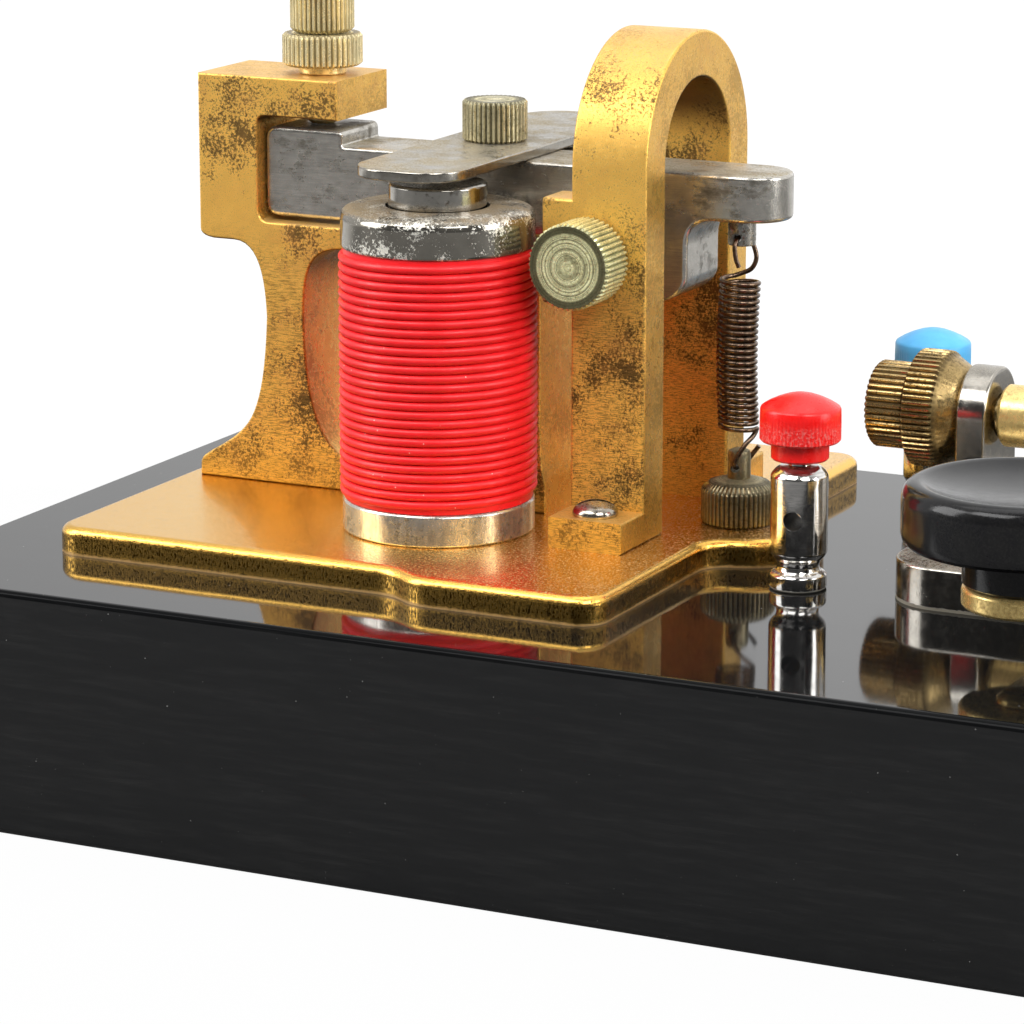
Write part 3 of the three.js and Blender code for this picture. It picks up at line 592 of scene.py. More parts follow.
def metal(name, bright, dark, rough=(0.2, 0.45), speckle=(2.2, 0.53, 0.62), patches=(0.12, 0.35),
          stretch=(1, 1, 1), dust=0.0, dust_color=(0.42, 0.33, 0.22), patina=None, brush=None,
          rings=None, knurl=None, bore=None, relief=0.012, matt=0.0, settled=0.0):
    """Plated or bare metal with tarnish.

    speckle: size per mm, and the noise values where tarnish starts and is full
    patches: size per mm and strength of the slow variation that gathers the speckle
    dust: how much of it lies on the faces that look up
    patina: a green or brown bloom colour and its strength
    brush: stretch of fine brush marks
    rings: spacing in mm of turning marks on faces square to the axis, with a dark ring of painted shade near the
    rim
    knurl: radius, teeth and depth of a knurl, whose grooves hold dirt
    bore: a radius, and two heights, inside which a cross hole is painted near black as shade
    matt: how much of the surface scatters light like paint instead of reflecting it like metal
    settled: how high in mm a line of dust lies where the piece stands on the board
    """
    look = Look(name)
    fine = look.noise(speckle[0], 8, 0.72, stretch)
    slow = look.noise(patches[0], 3, 0.5, shift=(7, 3, 5))
    gathered = look.plus(fine, look.times(look.maths("SUBTRACT", slow, 0.5), patches[1]))
    tarnish = look.range(gathered, speckle[1], speckle[2])
    color = look.mix(tarnish, bright, dark)
    color = look.shaded(color, look.range(look.noise(0.5, 4, 0.6, shift=(2, 9, 4)), 0.3, 0.7, 0.86, 1.06))
    roughness = look.blend(tarnish, rough[0], rough[1])
    roughness = look.plus(roughness, look.range(look.noise(1.1, 5, 0.65), 0.35, 0.7, -0.03, 0.07))
    metallic = 1.0 - matt
    height = look.times(tarnish, -0.5)
    turning = {}
    if patina:
        bloom = look.range(look.noise(0.9, 7, 0.7, shift=(11, 1, 2)), 0.5, 0.68, 0, patina[1])
        color = look.mix(bloom, color, patina[0])
        roughness = look.blend(bloom, roughness, 0.7)
    if brush:
        marks = look.noise(1.0, 4, 0.7, brush)
        height = look.plus(height, look.times(marks, 0.9))
        color = look.shaded(color, look.range(marks, 0.35, 0.68, 0.78, 1.08))
    if rings:
        inputs = {"W": look.reach(), "Scale": 1 / rings, "Detail": 5, "Roughness": 0.8}
        wave = look.add("TexNoise", inputs, noise_dimensions="1D")
        face = look.range(look.size(look.axial), 0.6, 0.9)
        height = look.plus(height, look.times(wave, face, 3.0))
        color = look.shaded(color, look.blend(face, 1.0, look.range(wave, 0.4, 0.6, 0.35, 1.5)))
        # painted shade: a dark ring near the rim of the end face, where the bevel looks dark
        rim = look.times(face, look.range(look.reach(), knurl[0] - 1.5, knurl[0] - 0.95, 0, 0.9))
        color = look.mix(rim, color, scaled(dark, 0.3))
        turning["Anisotropic"] = look.times(face, 0.75)
        turning["Tangent"] = look.add("Tangent", direction_type="RADIAL", axis="Z")
    if knurl:
        dirt = knurl_dirt(look, knurl[0], knurl[2])
        color = look.mix(dirt, color, scaled(dark, 0.22))
        roughness = look.blend(dirt, roughness, 0.65)
    if bore:
        # painted shade: the inside of the cross hole is painted near black
        inside = bore_shade_mask(look, *bore)
        color = look.mix(inside, color, (0.012, 0.011, 0.010))
        roughness = look.blend(inside, roughness, 0.6)
    if dust:
        cover = dust_cover(look, dust)
        grain = look.range(look.noise(7, 3, 0.7, shift=(1, 6, 2)), 0.36, 0.62)
        color = look.mix(cover, color, look.mix(grain, scaled(dust_color, 0.45), scaled(dust_color, 1.35)))
        roughness = look.blend(cover, roughness, 0.85)
        metallic = look.times(look.rest(cover), 1.0 - matt)
    if settled:
        line = look.range(look.rough_line(1.8, settled), settled * 1.4, settled, 0, 0.8)
        color = look.mix(line, color, (0.20, 0.18, 0.13))
        roughness = look.blend(line, roughness, 0.9)
        metallic = look.times(metallic, look.rest(line))
    bump = look.relief(height, relief)
    return look.finish(Base_Color=color, Metallic=metallic, Roughness=roughness, Normal=bump, **turning)


def plate_gold():
    """Mirror gold lacquer: streaked on the standing edge, dusty on top."""
    look = Look("gold_plate")
    standing = look.range(look.size(look.up), 0.75, 0.35)
    streaks = look.noise(4.5, 7, 0.75, (1, 1, 0.35))
    band = look.times(look.range(look.level, 2.9, 2.3), look.range(look.level, 0.3, 1.0, 0.55, 1))
    side = look.times(standing, look.times(look.range(streaks, 0.6, 0.4, 0.25, 1), band))
    color = look.mix(side, (0.94, 0.545, 0.115), (0.075, 0.042, 0.009))
    wear = look.range(look.noise(0.8, 6, 0.7, shift=(4, 4, 0)), 0.58, 0.7, 0, 0.3)
    color = look.mix(wear, color, (0.55, 0.27, 0.07))
    facing = look.range(look.up, 0.8, 0.98)
    grains = look.range(look.noise(3.2, 6, 0.8, shift=(3, 1, 3)), 0.5, 0.64)
    drift = look.plus(look.from_left, look.times(look.noise(0.12, 4, 0.6), 24))
    cover = look.times(facing, grains, look.range(drift, -18, 36, 0.05, 0.8))
    settled = look.range(look.rough_line(1.5, 0.5), 0.7, 0.35, 0, 0.5)
    cover = look.maths("MAXIMUM", cover, settled)
    color = look.mix(cover, color, (0.50, 0.33, 0.20))
    roughness = look.blend(side, look.blend(cover, 0.06, 0.75), 0.3)
    metallic = look.rest(look.times(cover, 0.9))
    height = look.plus(look.noise(0.6, 3, 0.5), look.times(look.range(streaks, 0.44, 0.56), 0.3))
    bump = look.relief(height, 0.02)
    return look.finish(Base_Color=color, Metallic=metallic, Roughness=roughness, Normal=bump)


def satin_gold():
    """Gold lacquer gone matt: dark speckle in patches on the fronts, cleaner faces along X."""
    look = Look("gold_satin")
    front = look.range(look.size(look.ahead), 0.3, 0.8)
    fine = look.noise(2.6, 9, 0.8)
    slow = look.noise(0.11, 4, 0.6, shift=(6, 2, 9))
    gathered = look.plus(fine, look.times(look.maths("SUBTRACT", slow, 0.5), 0.75))
    pin_holes = look.range(look.noise(6, 5, 0.8, shift=(8, 2, 7)), 0.545, 0.62, 0, 0.75)
    tarnish = look.maths("MAXIMUM", look.range(gathered, 0.52, 0.59), pin_holes)
    tarnish = look.times(tarnish, look.blend(front, 0.4, 0.95))
    color = look.mix(tarnish, (0.95, 0.555, 0.115), (0.11, 0.062, 0.014))
    rose = look.range(look.noise(0.25, 5, 0.65, shift=(1, 5, 3)), 0.46, 0.7, 0, 0.3)
    color = look.mix(rose, color, (0.66, 0.32, 0.09))
    marks = look.noise(1.0, 4, 0.75, (0.9, 0.9, 7))
    brushed = look.times(front, look.range(look.level, 40, 28))
    color = look.shaded(color, look.blend(brushed, 1.0, look.range(marks, 0.38, 0.56, 0.45, 1.05)))
    facing = look.range(look.up, 0.6, 0.95)
    grains = look.range(look.noise(4, 5, 0.75, shift=(3, 3, 3)), 0.42, 0.62, 0.2, 1)
    cover = look.times(facing, grains, 0.42)
    color = look.mix(cover, color, (0.62, 0.47, 0.28))
    # painted shade: faces that look down are painted dark brown
    below = look.range(look.up, -0.05, -0.6, 0, 0.9)
    color = look.mix(below, color, (0.10, 0.05, 0.01))
    # painted shade near the plate: the gold turns darker and browner below 11 mm
    color = look.mix(look.times(look.range(look.level, 11, 4), 0.35), color, (0.45, 0.24, 0.03))
    roughness = look.blend(tarnish, look.blend(front, 0.26, 0.36), 0.5)
    roughness = look.plus(roughness, look.range(look.noise(0.7, 5, 0.6), 0.3, 0.7, -0.04, 0.08))
    roughness = look.blend(cover, roughness, 0.8)
    height = look.plus(look.times(tarnish, -0.4), look.times(marks, look.times(brushed, 0.8)))
    height = look.plus(height, look.times(look.noise(1.6, 5, 0.6), 0.6))
    metallic = look.times(look.rest(cover), look.blend(front, 0.85, 0.62))
    bump = look.relief(height, 0.03)
    return look.finish(Base_Color=color, Metallic=metallic, Roughness=roughness, Normal=bump)


def lacquer():
    """Black piano lacquer with fine dust specks and hairlines."""
    look = Look("black_lacquer")
    specks = look.maths("MAXIMUM", look.dots(0.45, 0.05), look.dots(0.9, 0.045, (3, 9, 2)))
    specks = look.times(specks, look.range(look.noise(0.3, 2, 0.5, shift=(1, 2, 3)), 0.5, 0.6))
    color = look.mix(specks, (0.0045, 0.0047, 0.005), (0.20, 0.20, 0.19))
    hair = look.range(look.noise(0.8, 3, 0.8, (0.15, 0.15, 1.2)), 0.3, 0.7)
    streak = look.range(look.noise(0.5, 5, 0.7, (0.12, 0.12, 2)), 0.35, 0.7)
    standing = look.range(look.size(look.up), 0.5, 0.2)
    color = look.mix(look.times(standing, look.times(hair, streak)), color, (0.012, 0.012, 0.012))
    roughness = look.plus(0.035, look.times(look.noise(0.2, 4, 0.6), 0.04), look.times(specks, 0.5))
    edge = look.times(look.range(look.up, 0.04, 0.2), look.range(look.up, 0.995, 0.9))
    shine = look.blend(edge, 0.5, 0.04)
    bump = look.relief(look.noise(0.08, 2, 0.4), 0.02)
    return look.finish(Base_Color=color, Roughness=roughness, Normal=bump, IOR=1.55, Specular_IOR_Level=shine)


def plastic(name, color, deep, rough, powder=0.0, band=None, powder_color=(0.8, 0.5, 0.45), ior=1.45):
    """Moulded plastic. Powder gathers in the grain, between the two heights of a band where one is given."""
    look = Look(name)
    shade = look.mix(look.range(look.noise(0.35, 4, 0.6), 0.3, 0.7), color, deep)
    grain = look.noise(3.5, 5, 0.7, shift=(2, 4, 1))
    roughness = look.plus(rough, look.range(look.noise(0.9, 5, 0.6), 0.3, 0.7, -0.04, 0.08))
    cover = look.times(look.range(grain, 0.45, 0.65), powder)
    if band:
        low, high = band
        cover = look.times(cover, look.range(look.level, low - 0.2, low + 0.2))
        cover = look.times(cover, look.range(look.level, high + 0.7, high - 0.7))
    shade = look.mix(cover, shade, powder_color)
    roughness = look.blend(cover, roughness, 0.85)
    return look.finish(Base_Color=shade, Roughness=roughness, Normal=look.relief(grain, 0.008), IOR=ior)


def wire_red():
    """Glossy red insulation with a few scuffs and specks of lint."""
    look = Look("red_wire")
    cloud = look.range(look.noise(0.25, 4, 0.6, (1, 1, 2)), 0.3, 0.7)
    color = look.mix(cloud, (0.88, 0.014, 0.020), (0.78, 0.010, 0.014))
    lint = look.times(look.dots(0.8, 0.09, (4, 1, 6)), look.range(look.noise(0.3, 2, 0.5), 0.5, 0.6))
    color = look.mix(lint, color, (0.85, 0.45, 0.4))
    roughness = look.plus(0.36, look.range(look.noise(0.7, 5, 0.7), 0.35, 0.7, -0.05, 0.14))
    bump = look.relief(look.noise(1.4, 4, 0.6), 0.012)
    return look.finish(Base_Color=color, Roughness=roughness, Normal=bump, IOR=1.45)


def head(name, key, bright, dark, **rest):
    """A knurled brass head with turning marks on its end."""
    settings = {"rough": (0.24, 0.45), "speckle": (2.2, 0.47, 0.74), "patches": (0.3, 0.4), "rings": 0.5}
    return metal(name, bright, dark, knurl=KNURLS[key], **{**settings, **rest})


NICKEL_DUST = {"dust": 1.6, "dust_color": (0.28, 0.225, 0.13)}
SMALL_BRASS = {
    "bright": (0.62, 0.45, 0.20), "dark": (0.18, 0.12, 0.05), "dust": 0.5, "dust_color": (0.26, 0.2, 0.12),
}
AGED_DUST = {"dust": 0.35, "dust_color": (0.24, 0.18, 0.1)}
CLEAN_BRASS = {"rough": (0.2, 0.42), "speckle": (2.2, 0.5, 0.76), "matt": 0.45}
BRASS_DUST = (0.45, 0.34, 0.2)

LOOKS = {
    "lacquer": lacquer(),
    "plate": plate_gold(),
    "gold": satin_gold(),
    "red_wire": wire_red(),
    "nickel": metal(
        "nickel_satin", (0.60, 0.575, 0.52), (0.20, 0.18, 0.145), (0.2, 0.4), (0.55, 0.5, 0.74),
        (0.16, 0.55), (0.5, 1, 1), brush=(0.3, 6, 6), relief=0.008, matt=0.12, **NICKEL_DUST,
    ),
    "armature": metal(
        "nickel_flat", (0.46, 0.435, 0.385), (0.32, 0.27, 0.20), (0.16, 0.34), (1.8, 0.46, 0.8),
        (0.14, 0.5), brush=(0.5, 4, 1), relief=0.006, **NICKEL_DUST,
    ),
    "cap": metal(
        "nickel_cap", (0.30, 0.28, 0.24), (0.98, 0.95, 0.86), (0.1, 0.5), (2.6, 0.55, 0.62), (0.25, 0.6),
        dust=3.5, dust_color=(0.235, 0.172, 0.095), relief=0.01, matt=0.1,
    ),
    "ring": metal(
        "nickel_ring", (0.70, 0.66, 0.60), (0.22, 0.18, 0.12), (0.2, 0.38), (1.5, 0.5, 0.75), (0.2, 0.4),
        dust=0.4, brush=(3, 3, 0.3), relief=0.008, matt=0.15,
    ),
    "iron": metal(
        "bright_iron", (0.44, 0.42, 0.38), (0.14, 0.12, 0.10), (0.12, 0.3), (1.4, 0.55, 0.72), (0.2, 0.4),
        dust=0.6, dust_color=(0.2, 0.17, 0.11), relief=0.006,
    ),
    "dome": metal(
        "steel_dome", (0.42, 0.38, 0.32), (0.15, 0.12, 0.09), (0.18, 0.4), (1.6, 0.46, 0.72), (0.3, 0.4),
        dust=0.35, relief=0.008,
    ),
    "post_chrome": metal(
        "chrome_post", (0.72, 0.70, 0.67), (0.32, 0.29, 0.25), (0.12, 0.3), (1.8, 0.6, 0.8), (0.2, 0.3),
        dust=0.3, brush=(0.6, 0.6, 5), bore=(3.35, 7.7, 10.3), relief=0.004, settled=0.4,
    ),
    "chrome": metal(
        "chrome", (0.80, 0.79, 0.76), (0.4, 0.37, 0.32), (0.04, 0.25), (1.8, 0.66, 0.82), (0.2, 0.3),
        dust=0.25, relief=0.004,
    ),
    "key_nickel": metal(
        "nickel_key", (0.42, 0.395, 0.35), (0.26, 0.23, 0.18), (0.17, 0.32), (2.4, 0.54, 0.78), (0.2, 0.3),
        dust=0.6, dust_color=(0.30, 0.26, 0.20), relief=0.006, settled=0.5,
    ),
    "pivot": head(
        "brass_olive", "pivot", (0.92, 0.90, 0.50), (0.22, 0.20, 0.09), rough=(0.24, 0.44),
        speckle=(2.2, 0.46, 0.74), dust=0.4, dust_color=(0.3, 0.26, 0.15), rings=0.42,
        patina=((0.30, 0.33, 0.20), 0.25), relief=0.014, matt=0.35,
    ),
    "arm_screw": head(
        "brass_dull", "arm_screw", (0.68, 0.62, 0.40), (0.24, 0.21, 0.12), rough=(0.3, 0.5),
        speckle=(2.0, 0.46, 0.74), patches=(0.3, 0.5), dust=0.85, dust_color=(0.26, 0.23, 0.14),
        patina=((0.22, 0.24, 0.15), 0.3), matt=0.25,
    ),
    "adjuster": head(
        "brass_dusty", "adjuster", (0.34, 0.29, 0.18), (0.15, 0.125, 0.075), rough=(0.34, 0.55),
        speckle=(2.0, 0.44, 0.74), patches=(0.3, 0.5), dust=0.95, dust_color=(0.27, 0.24, 0.15),
        patina=((0.22, 0.25, 0.17), 0.4), rings=0.6, relief=0.014,
    ),
    "trunnion_head": head(
        "brass_aged", "trunnion_head", (0.50, 0.35, 0.15), (0.13, 0.088, 0.036), matt=0.1, **AGED_DUST,
    ),
    "trunnion_nut": head(
        "brass_aged_nut", "trunnion_nut", (0.46, 0.325, 0.14), (0.115, 0.077, 0.032), **AGED_DUST,
    ),
    "small_head": head("brass_small_head", "small_head", **SMALL_BRASS),
    "small_nut": head("brass_small_nut", "small_nut", **SMALL_BRASS),
    "stop_screw": head(
        "brass_clean", "stop_screw", (1.0, 0.84, 0.46), (0.62, 0.46, 0.20), dust=0.4,
        dust_color=(0.4, 0.32, 0.18), **CLEAN_BRASS,
    ),
    "stop_nut": head(
        "brass_nut", "stop_nut", (1.0, 0.86, 0.50), (0.64, 0.48, 0.22), dust=0.5,
        dust_color=(0.38, 0.30, 0.17), **CLEAN_BRASS,
    ),
    "brass": metal(
        "brass_bright", (0.93, 0.66, 0.24), (0.4, 0.24, 0.08), (0.14, 0.4), (2.0, 0.56, 0.78), (0.2, 0.4),
        dust=0.3, dust_color=BRASS_DUST, relief=0.008, matt=0.3,
    ),
    "boss": metal(
        "brass_satin", (0.95, 0.70, 0.27), (0.32, 0.19, 0.06), (0.26, 0.42), (2.6, 0.48, 0.76), (0.2, 0.45),
        dust=0.4, dust_color=BRASS_DUST, relief=0.01, matt=0.35,
    ),
    "steel": metal("plain_steel", (0.46, 0.44, 0.40), (0.2, 0.17, 0.13), (0.25, 0.5), relief=0.01),
    "spring": metal(
        "spring_dark", (0.17, 0.115, 0.08), (0.06, 0.038, 0.025), (0.26, 0.5), (3.0, 0.46, 0.74),
        relief=0.006,
    ),
    "red_cap": plastic("red_plastic", (0.92, 0.012, 0.010), (0.82, 0.008, 0.008), 0.28, 0.35, (18.4, 20.6)),
    "blue_cap": plastic(
        "blue_plastic", (0.10, 0.46, 0.85), (0.08, 0.40, 0.78), 0.34, 0.2, (18.4, 20.6), (0.6, 0.75, 0.85),
    ),
    "black_cap": plastic(
        "black_plastic", (0.007, 0.007, 0.008), (0.010, 0.010, 0.010), 0.10, 0.05, None, (0.12, 0.11, 0.10),
        ior=1.36,
    ),
    "fibre": plastic(
        "pressed_fibre", (0.020, 0.018, 0.016), (0.03, 0.027, 0.023), 0.75, 0.3, None, (0.07, 0.06, 0.05),
    ),
}


# ---------------------------------------------------------------- board

def make_board():
    cover_low, cover_high = lowest("bottom_cover"), highest("bottom_cover")
    gap = 0.3
    outline = rounded_box(board_low.x, board_high.x, board_low.y, board_high.y, 1.6, 6)
    body = slab([outline], board_low.z, board_high.z, 0.9, steps=4)
    recess_low = (cover_low.x - gap, cover_low.y - gap, -1)
    recess_high = (cover_high.x + gap, cover_high.y + gap, cover_high.z + gap)
    body = cut(body, box(recess_low, recess_high))
    piece("board_body", body, LOOKS["lacquer"], "board")
    outline = rounded_box(cover_low.x, cover_high.x, cover_low.y, cover_high.y, 2)
    sheet = slab([outline], cover_low.z, cover_high.z, 0.25)
    screws = [f"cover_screw_{number}" for number in range(1, 5)]
    spots = [middle(screw) for screw in screws]
    countersink = [(0, -1), (3.2, -1), (3.2, 0.0), (1.7, 1.4), (0, 1.4)]
    holes = [moved(turned(countersink, 48), spot.x, spot.y, 0) for spot in spots]
    piece("bottom_cover_sheet", cut(sheet, *holes), LOOKS["fibre"], "bottom_cover")
    for number, (screw, spot) in enumerate(zip(screws, spots), 1):
        high = highest(screw).z
        head = turned(soften([(0, 0.35), (2.7, 0.35), (1.35, 1.6), (1.25, high - 1), (0, high)], 0.1), 40)
        slots = [box((-2.2, -0.3, 0), (2.2, 0.3, 0.95)), box((-0.3, -2.2, 0), (0.3, 2.2, 0.95))]
        name = f"cover_wood_screw_{number}"
        piece(name, cut(head, *slots), LOOKS["steel"], screw, (spot.x, spot.y, 0))


# ---------------------------------------------------------------- sounder

PLATE_TOP = 3.5
COIL_Y = 18.4
COIL_RADIUS = 12.4
STOP_X = -26
ARMATURE_X = -1.2
SPRING_X = 33
PIN_HOLE_Z = 40
ADJUSTER_HOLE_Z = 10.7
FOOT_SCREW = Vector((22, 19.15, 7.4))


def plate_outline():
    left, right, narrow, wide = -43.9, 33.2, 40, 43
    lobe_x, lobe, fillet = 34.5, 9.4, 4
    fillet_x = right + fillet
    fillet_y = math.sqrt((lobe + fillet) ** 2 - (fillet_x - lobe_x) ** 2)
    turn = math.degrees(math.atan2(fillet_y, fillet_x - lobe_x))
    shape = Outline()
    shape.arc((left + 4, -narrow + 4), 4, 180, 270)
    shape.line((2.5, -narrow)).curve((6.75, -narrow), (6.75, -wide), (11, -wide))
    shape.arc((right - 3.5, -wide + 3.5), 3.5, 270, 360)
    shape.arc((fillet_x, -fillet_y), fillet, 180, 180 - turn)
    shape.arc((lobe_x, 0), lobe, -turn, turn, 24)
    shape.arc((fillet_x, fillet_y), fillet, 180 + turn, 180)
    shape.arc((right - 3.5, wide - 3.5), 3.5, 0, 90)
    shape.line((11, wide)).curve((6.75, wide), (6.75, narrow), (2.5, narrow))
    shape.arc((left + 4, narrow - 4), 4, 90, 180)
    return shape


def make_plate():
    mesh = slab([plate_outline()], 0, PLATE_TOP, 1.2, steps=5, foot=True)
    piece("sounder_base_plate", mesh, LOOKS["plate"], "sounder_base", sounder_at)


def make_anvil():
    left, right, half, top = -40.65, 8.55, 7, 56.8
    shape = Outline((left - 0.5, 3.5)).line((right + 0.7, 3.5), (right + 0.7, 7))
    shape.bend((right, 10), (right, 15))
    shape.line((right, 36)).bend((right, 38), (right - 2.3, 38))
    shape.line((-30.4, 38)).bend((-32, 38), (-32, 39.6))
    shape.line((-32, 50.5)).bend((-32, 51.75), (-30.8, 51.75))
    shape.line((-20.25, 51.75), (-20.25, top), (left, top), (left, 36.5))
    shape.bend((left, 35.5), (left + 2, 35.3)).line((left + 5, 35.3))
    shape.curve((-31.95, 35.3), (-31.15, 30.5), (-30.95, 25.5))
    shape.curve((-31.25, 19), (-31.95, 14), (-33.95, 11.2))
    shape.curve((-35.95, 8.6), (-38.95, 7.4), (-40.25, 6.4)).bend((left - 0.5, 5.9), (left - 0.5, 4.9))
    window = Outline((-19.85, 35.2))
    window.curve((-23.85, 35), (-25.45, 33), (-25.45, 26.6)).curve((-25.45, 18), (-24.45, 8.2), (-17.85, 7.3))
    window.line((-4.25, 7.3)).curve((2.35, 8.2), (3.35, 18), (3.35, 26.6))
    window.curve((3.35, 33), (1.75, 35), (-2.25, 35.2))
    body = slab([shape, window], -half, half, 0.3, "XZ", 2)
    reliefs = [moved(rod(12.85, 2, 60, 96), 0, side * COIL_Y, 0) for side in (-1, 1)]
    stop_hole = moved(rod(2.4, 51, 58), STOP_X, 0, 0)
    piece("anvil_frame_body", cut(body, stop_hole, *reliefs), LOOKS["gold"], "anvil_frame", sounder_at)


def make_arch():
    outer, inner, spring_line, foot_end, foot_top = 15.8, 9.95, 49.45, 22.5, 7.4
    shape = Outline((-foot_end, PLATE_TOP)).line((-inner, PLATE_TOP), (-inner, spring_line))
    shape.arc((0, spring_line), inner, 180, 0, 40)
    shape.line((inner, PLATE_TOP), (foot_end, PLATE_TOP), (foot_end, foot_top), (outer, foot_top))
    shape.line((outer, spring_line)).arc((0, spring_line), outer, 0, 180, 56)
    shape.line((-outer, foot_top), (-foot_end, foot_top))
    body = slab([shape], 17, 27, 0.35, "YZ", 3)
    lugs = []
    for side in (-1, 1):
        span = sorted((side * inner, side * outer))
        lugs.append(slab([rounded_box(12.9, 19, *span, 0.6)], 32.6, 45.8, 0.5))
    holes = [moved(rod(1.6, 0, 9), FOOT_SCREW.x, side * FOOT_SCREW.y, 0) for side in (-1, 1)]
    holes.append(cross_hole(2.3, 30, PIVOT))
    body = cut(joined(body, *lugs), *holes)
    piece("arch_frame_body", body, LOOKS["gold"], "arch_frame", sounder_at)


def dome_screw():
    radius, rim, dome = 2.85, 0.25, 1.65
    profile = [(0, -5), (1.3, -5), (1.3, 0), (2.75, 0), (radius, rim)]
    for step in range(1, 8):
        angle = step * math.pi / 16
        profile.append((radius * math.cos(angle), rim + dome * math.sin(angle)))
    screw = turned(profile + [(0, rim + dome)], 64)
    return cut(screw, spun(box((-4, -0.36, 1.15), (4, 0.36, 3)), 28, "Z"))


def make_coil(side, y):
    at = in_sounder(0, y)
    low = lowest(f"coil_winding_{side}").z - board_top
    high = highest(f"coil_winding_{side}").z - board_top
    turns, steps = 28, 72
    wire = (high - low) / turns / 2
    radius = COIL_RADIUS - wire
    last = (turns - 1) * steps
    path = []
    for i in range(last + 1):
        angle = TAU * i / steps + math.pi / 2
        height = low + wire + (high - low - 2 * wire) * i / last
        path.append((*on_circle(radius, angle), height))
    layer = turned([(6.5, low), (radius, low), (radius, high), (6.5, high), (6.5, low)], 72)
    winding = loose(tube(path, wire * 0.985, 12), layer)
    piece(f"coil_wire_{side}", winding, LOOKS["red_wire"], f"coil_winding_{side}", at, crease=60)
    cap = [(6.45, 39.3), (12.0, 39.3), (12.1, 39.6), (12.1, 42.9), (11.95, 43.5), (11.5, 43.95)]
    cap += [(10.6, 44.2), (8.2, 44.3), (6.45, 44.3), (6.45, 39.3)]
    ring = [(6.45, 3.5), (11.85, 3.5), (12.05, 3.7), (12.05, 7.3), (11.8, 7.6), (6.45, 7.6), (6.45, 3.5)]
    core = [(0, 3.5), (6.15, 3.5), (6.15, 46.9), (5.85, 47.2), (0, 47.2)]
    rows = (
        ("cap", cap, 0.15, 128, "cap"), ("ring", ring, 0.12, 128, "ring"), ("core", core, 0.1, 96, "iron"),
    )
    for part, profile, soft, segments, look in rows:
        mesh = turned(soften(profile, soft), segments)
        piece(f"coil_{part}_{side}_made", mesh, LOOKS[look], f"coil_{part}_{side}", at)


def make_sounder_lever():
    left, right, half = -31.75, 39.4, 5.2
    bottom, top, block_top, tail = 38.55, 48.3, 50.3, 42.4
    hub, hub_side, hub_bottom = 8.1, 35, 31
    split = 33.5
    x = PIVOT.x
    shape = Outline((left, bottom + 1.8)).bend((left, bottom), (left + 1.8, bottom))
    shape.line((x - hub - 3.4, bottom)).bend((x - hub, bottom), (x - hub, hub_side))
    for step in range(1, 24):
        angle = math.pi * (1 + step / 24)
        shape.line((x + hub * math.cos(angle), hub_side + (hub_side - hub_bottom) * math.sin(angle)))
    shape.line((x + hub, hub_side), (x + hub, tail - 3.4)).bend((x + hub, tail), (x + hub + 3.6, tail), 8)
    shape.line((split + 3, tail), (split + 3, top), (-20.2, top)).bend((-20.5, top), (-20.5, top + 0.3))
    shape.line((-20.5, block_top - 0.9)).bend((-20.5, block_top), (-21.4, block_top))
    shape.line((left + 1.8, block_top)).bend((left, block_top), (left, block_top - 1.8))
    front = slab([shape], -half, half, 0.6, "XZ", 3)
    front = kept(front, box((left - 5, -20, 20), (split, 20, 70)))
    plan = Outline((split - 4, -half)).line((right - half, -half)).arc((right - half, 0), half, -90, 90, 32)
    plan.line((split - 4, half))
    tail_end = slab([plan], tail, top, 0.6, "XY", 3)
    tail_end = kept(tail_end, box((split, -20, 20), (right + 5, 20, 70)))
    mark = spun(turned([(0.85, -1), (1.05, -1), (1.05, 1), (0.85, 1), (0.85, -1)], 32), 90, "X")
    front = cut(front, moved(mark, 7.9, -half - 0.85, 45.9), cross_hole(1.85, 20, PIVOT))
    piece("sounder_lever_body", loose(front, tail_end), LOOKS["nickel"], "sounder_lever", sounder_at)


def make_armature():
    x, half_x, half_y = ARMATURE_X, 7.25, 27.75
    strip = slab([rounded_box(x - half_x, x + half_x, -half_y, half_y, 5.6, 12)], 48.3, 49.7, 0.3, steps=3)
    piece("armature_strip", strip, LOOKS["armature"], "armature", sounder_at)


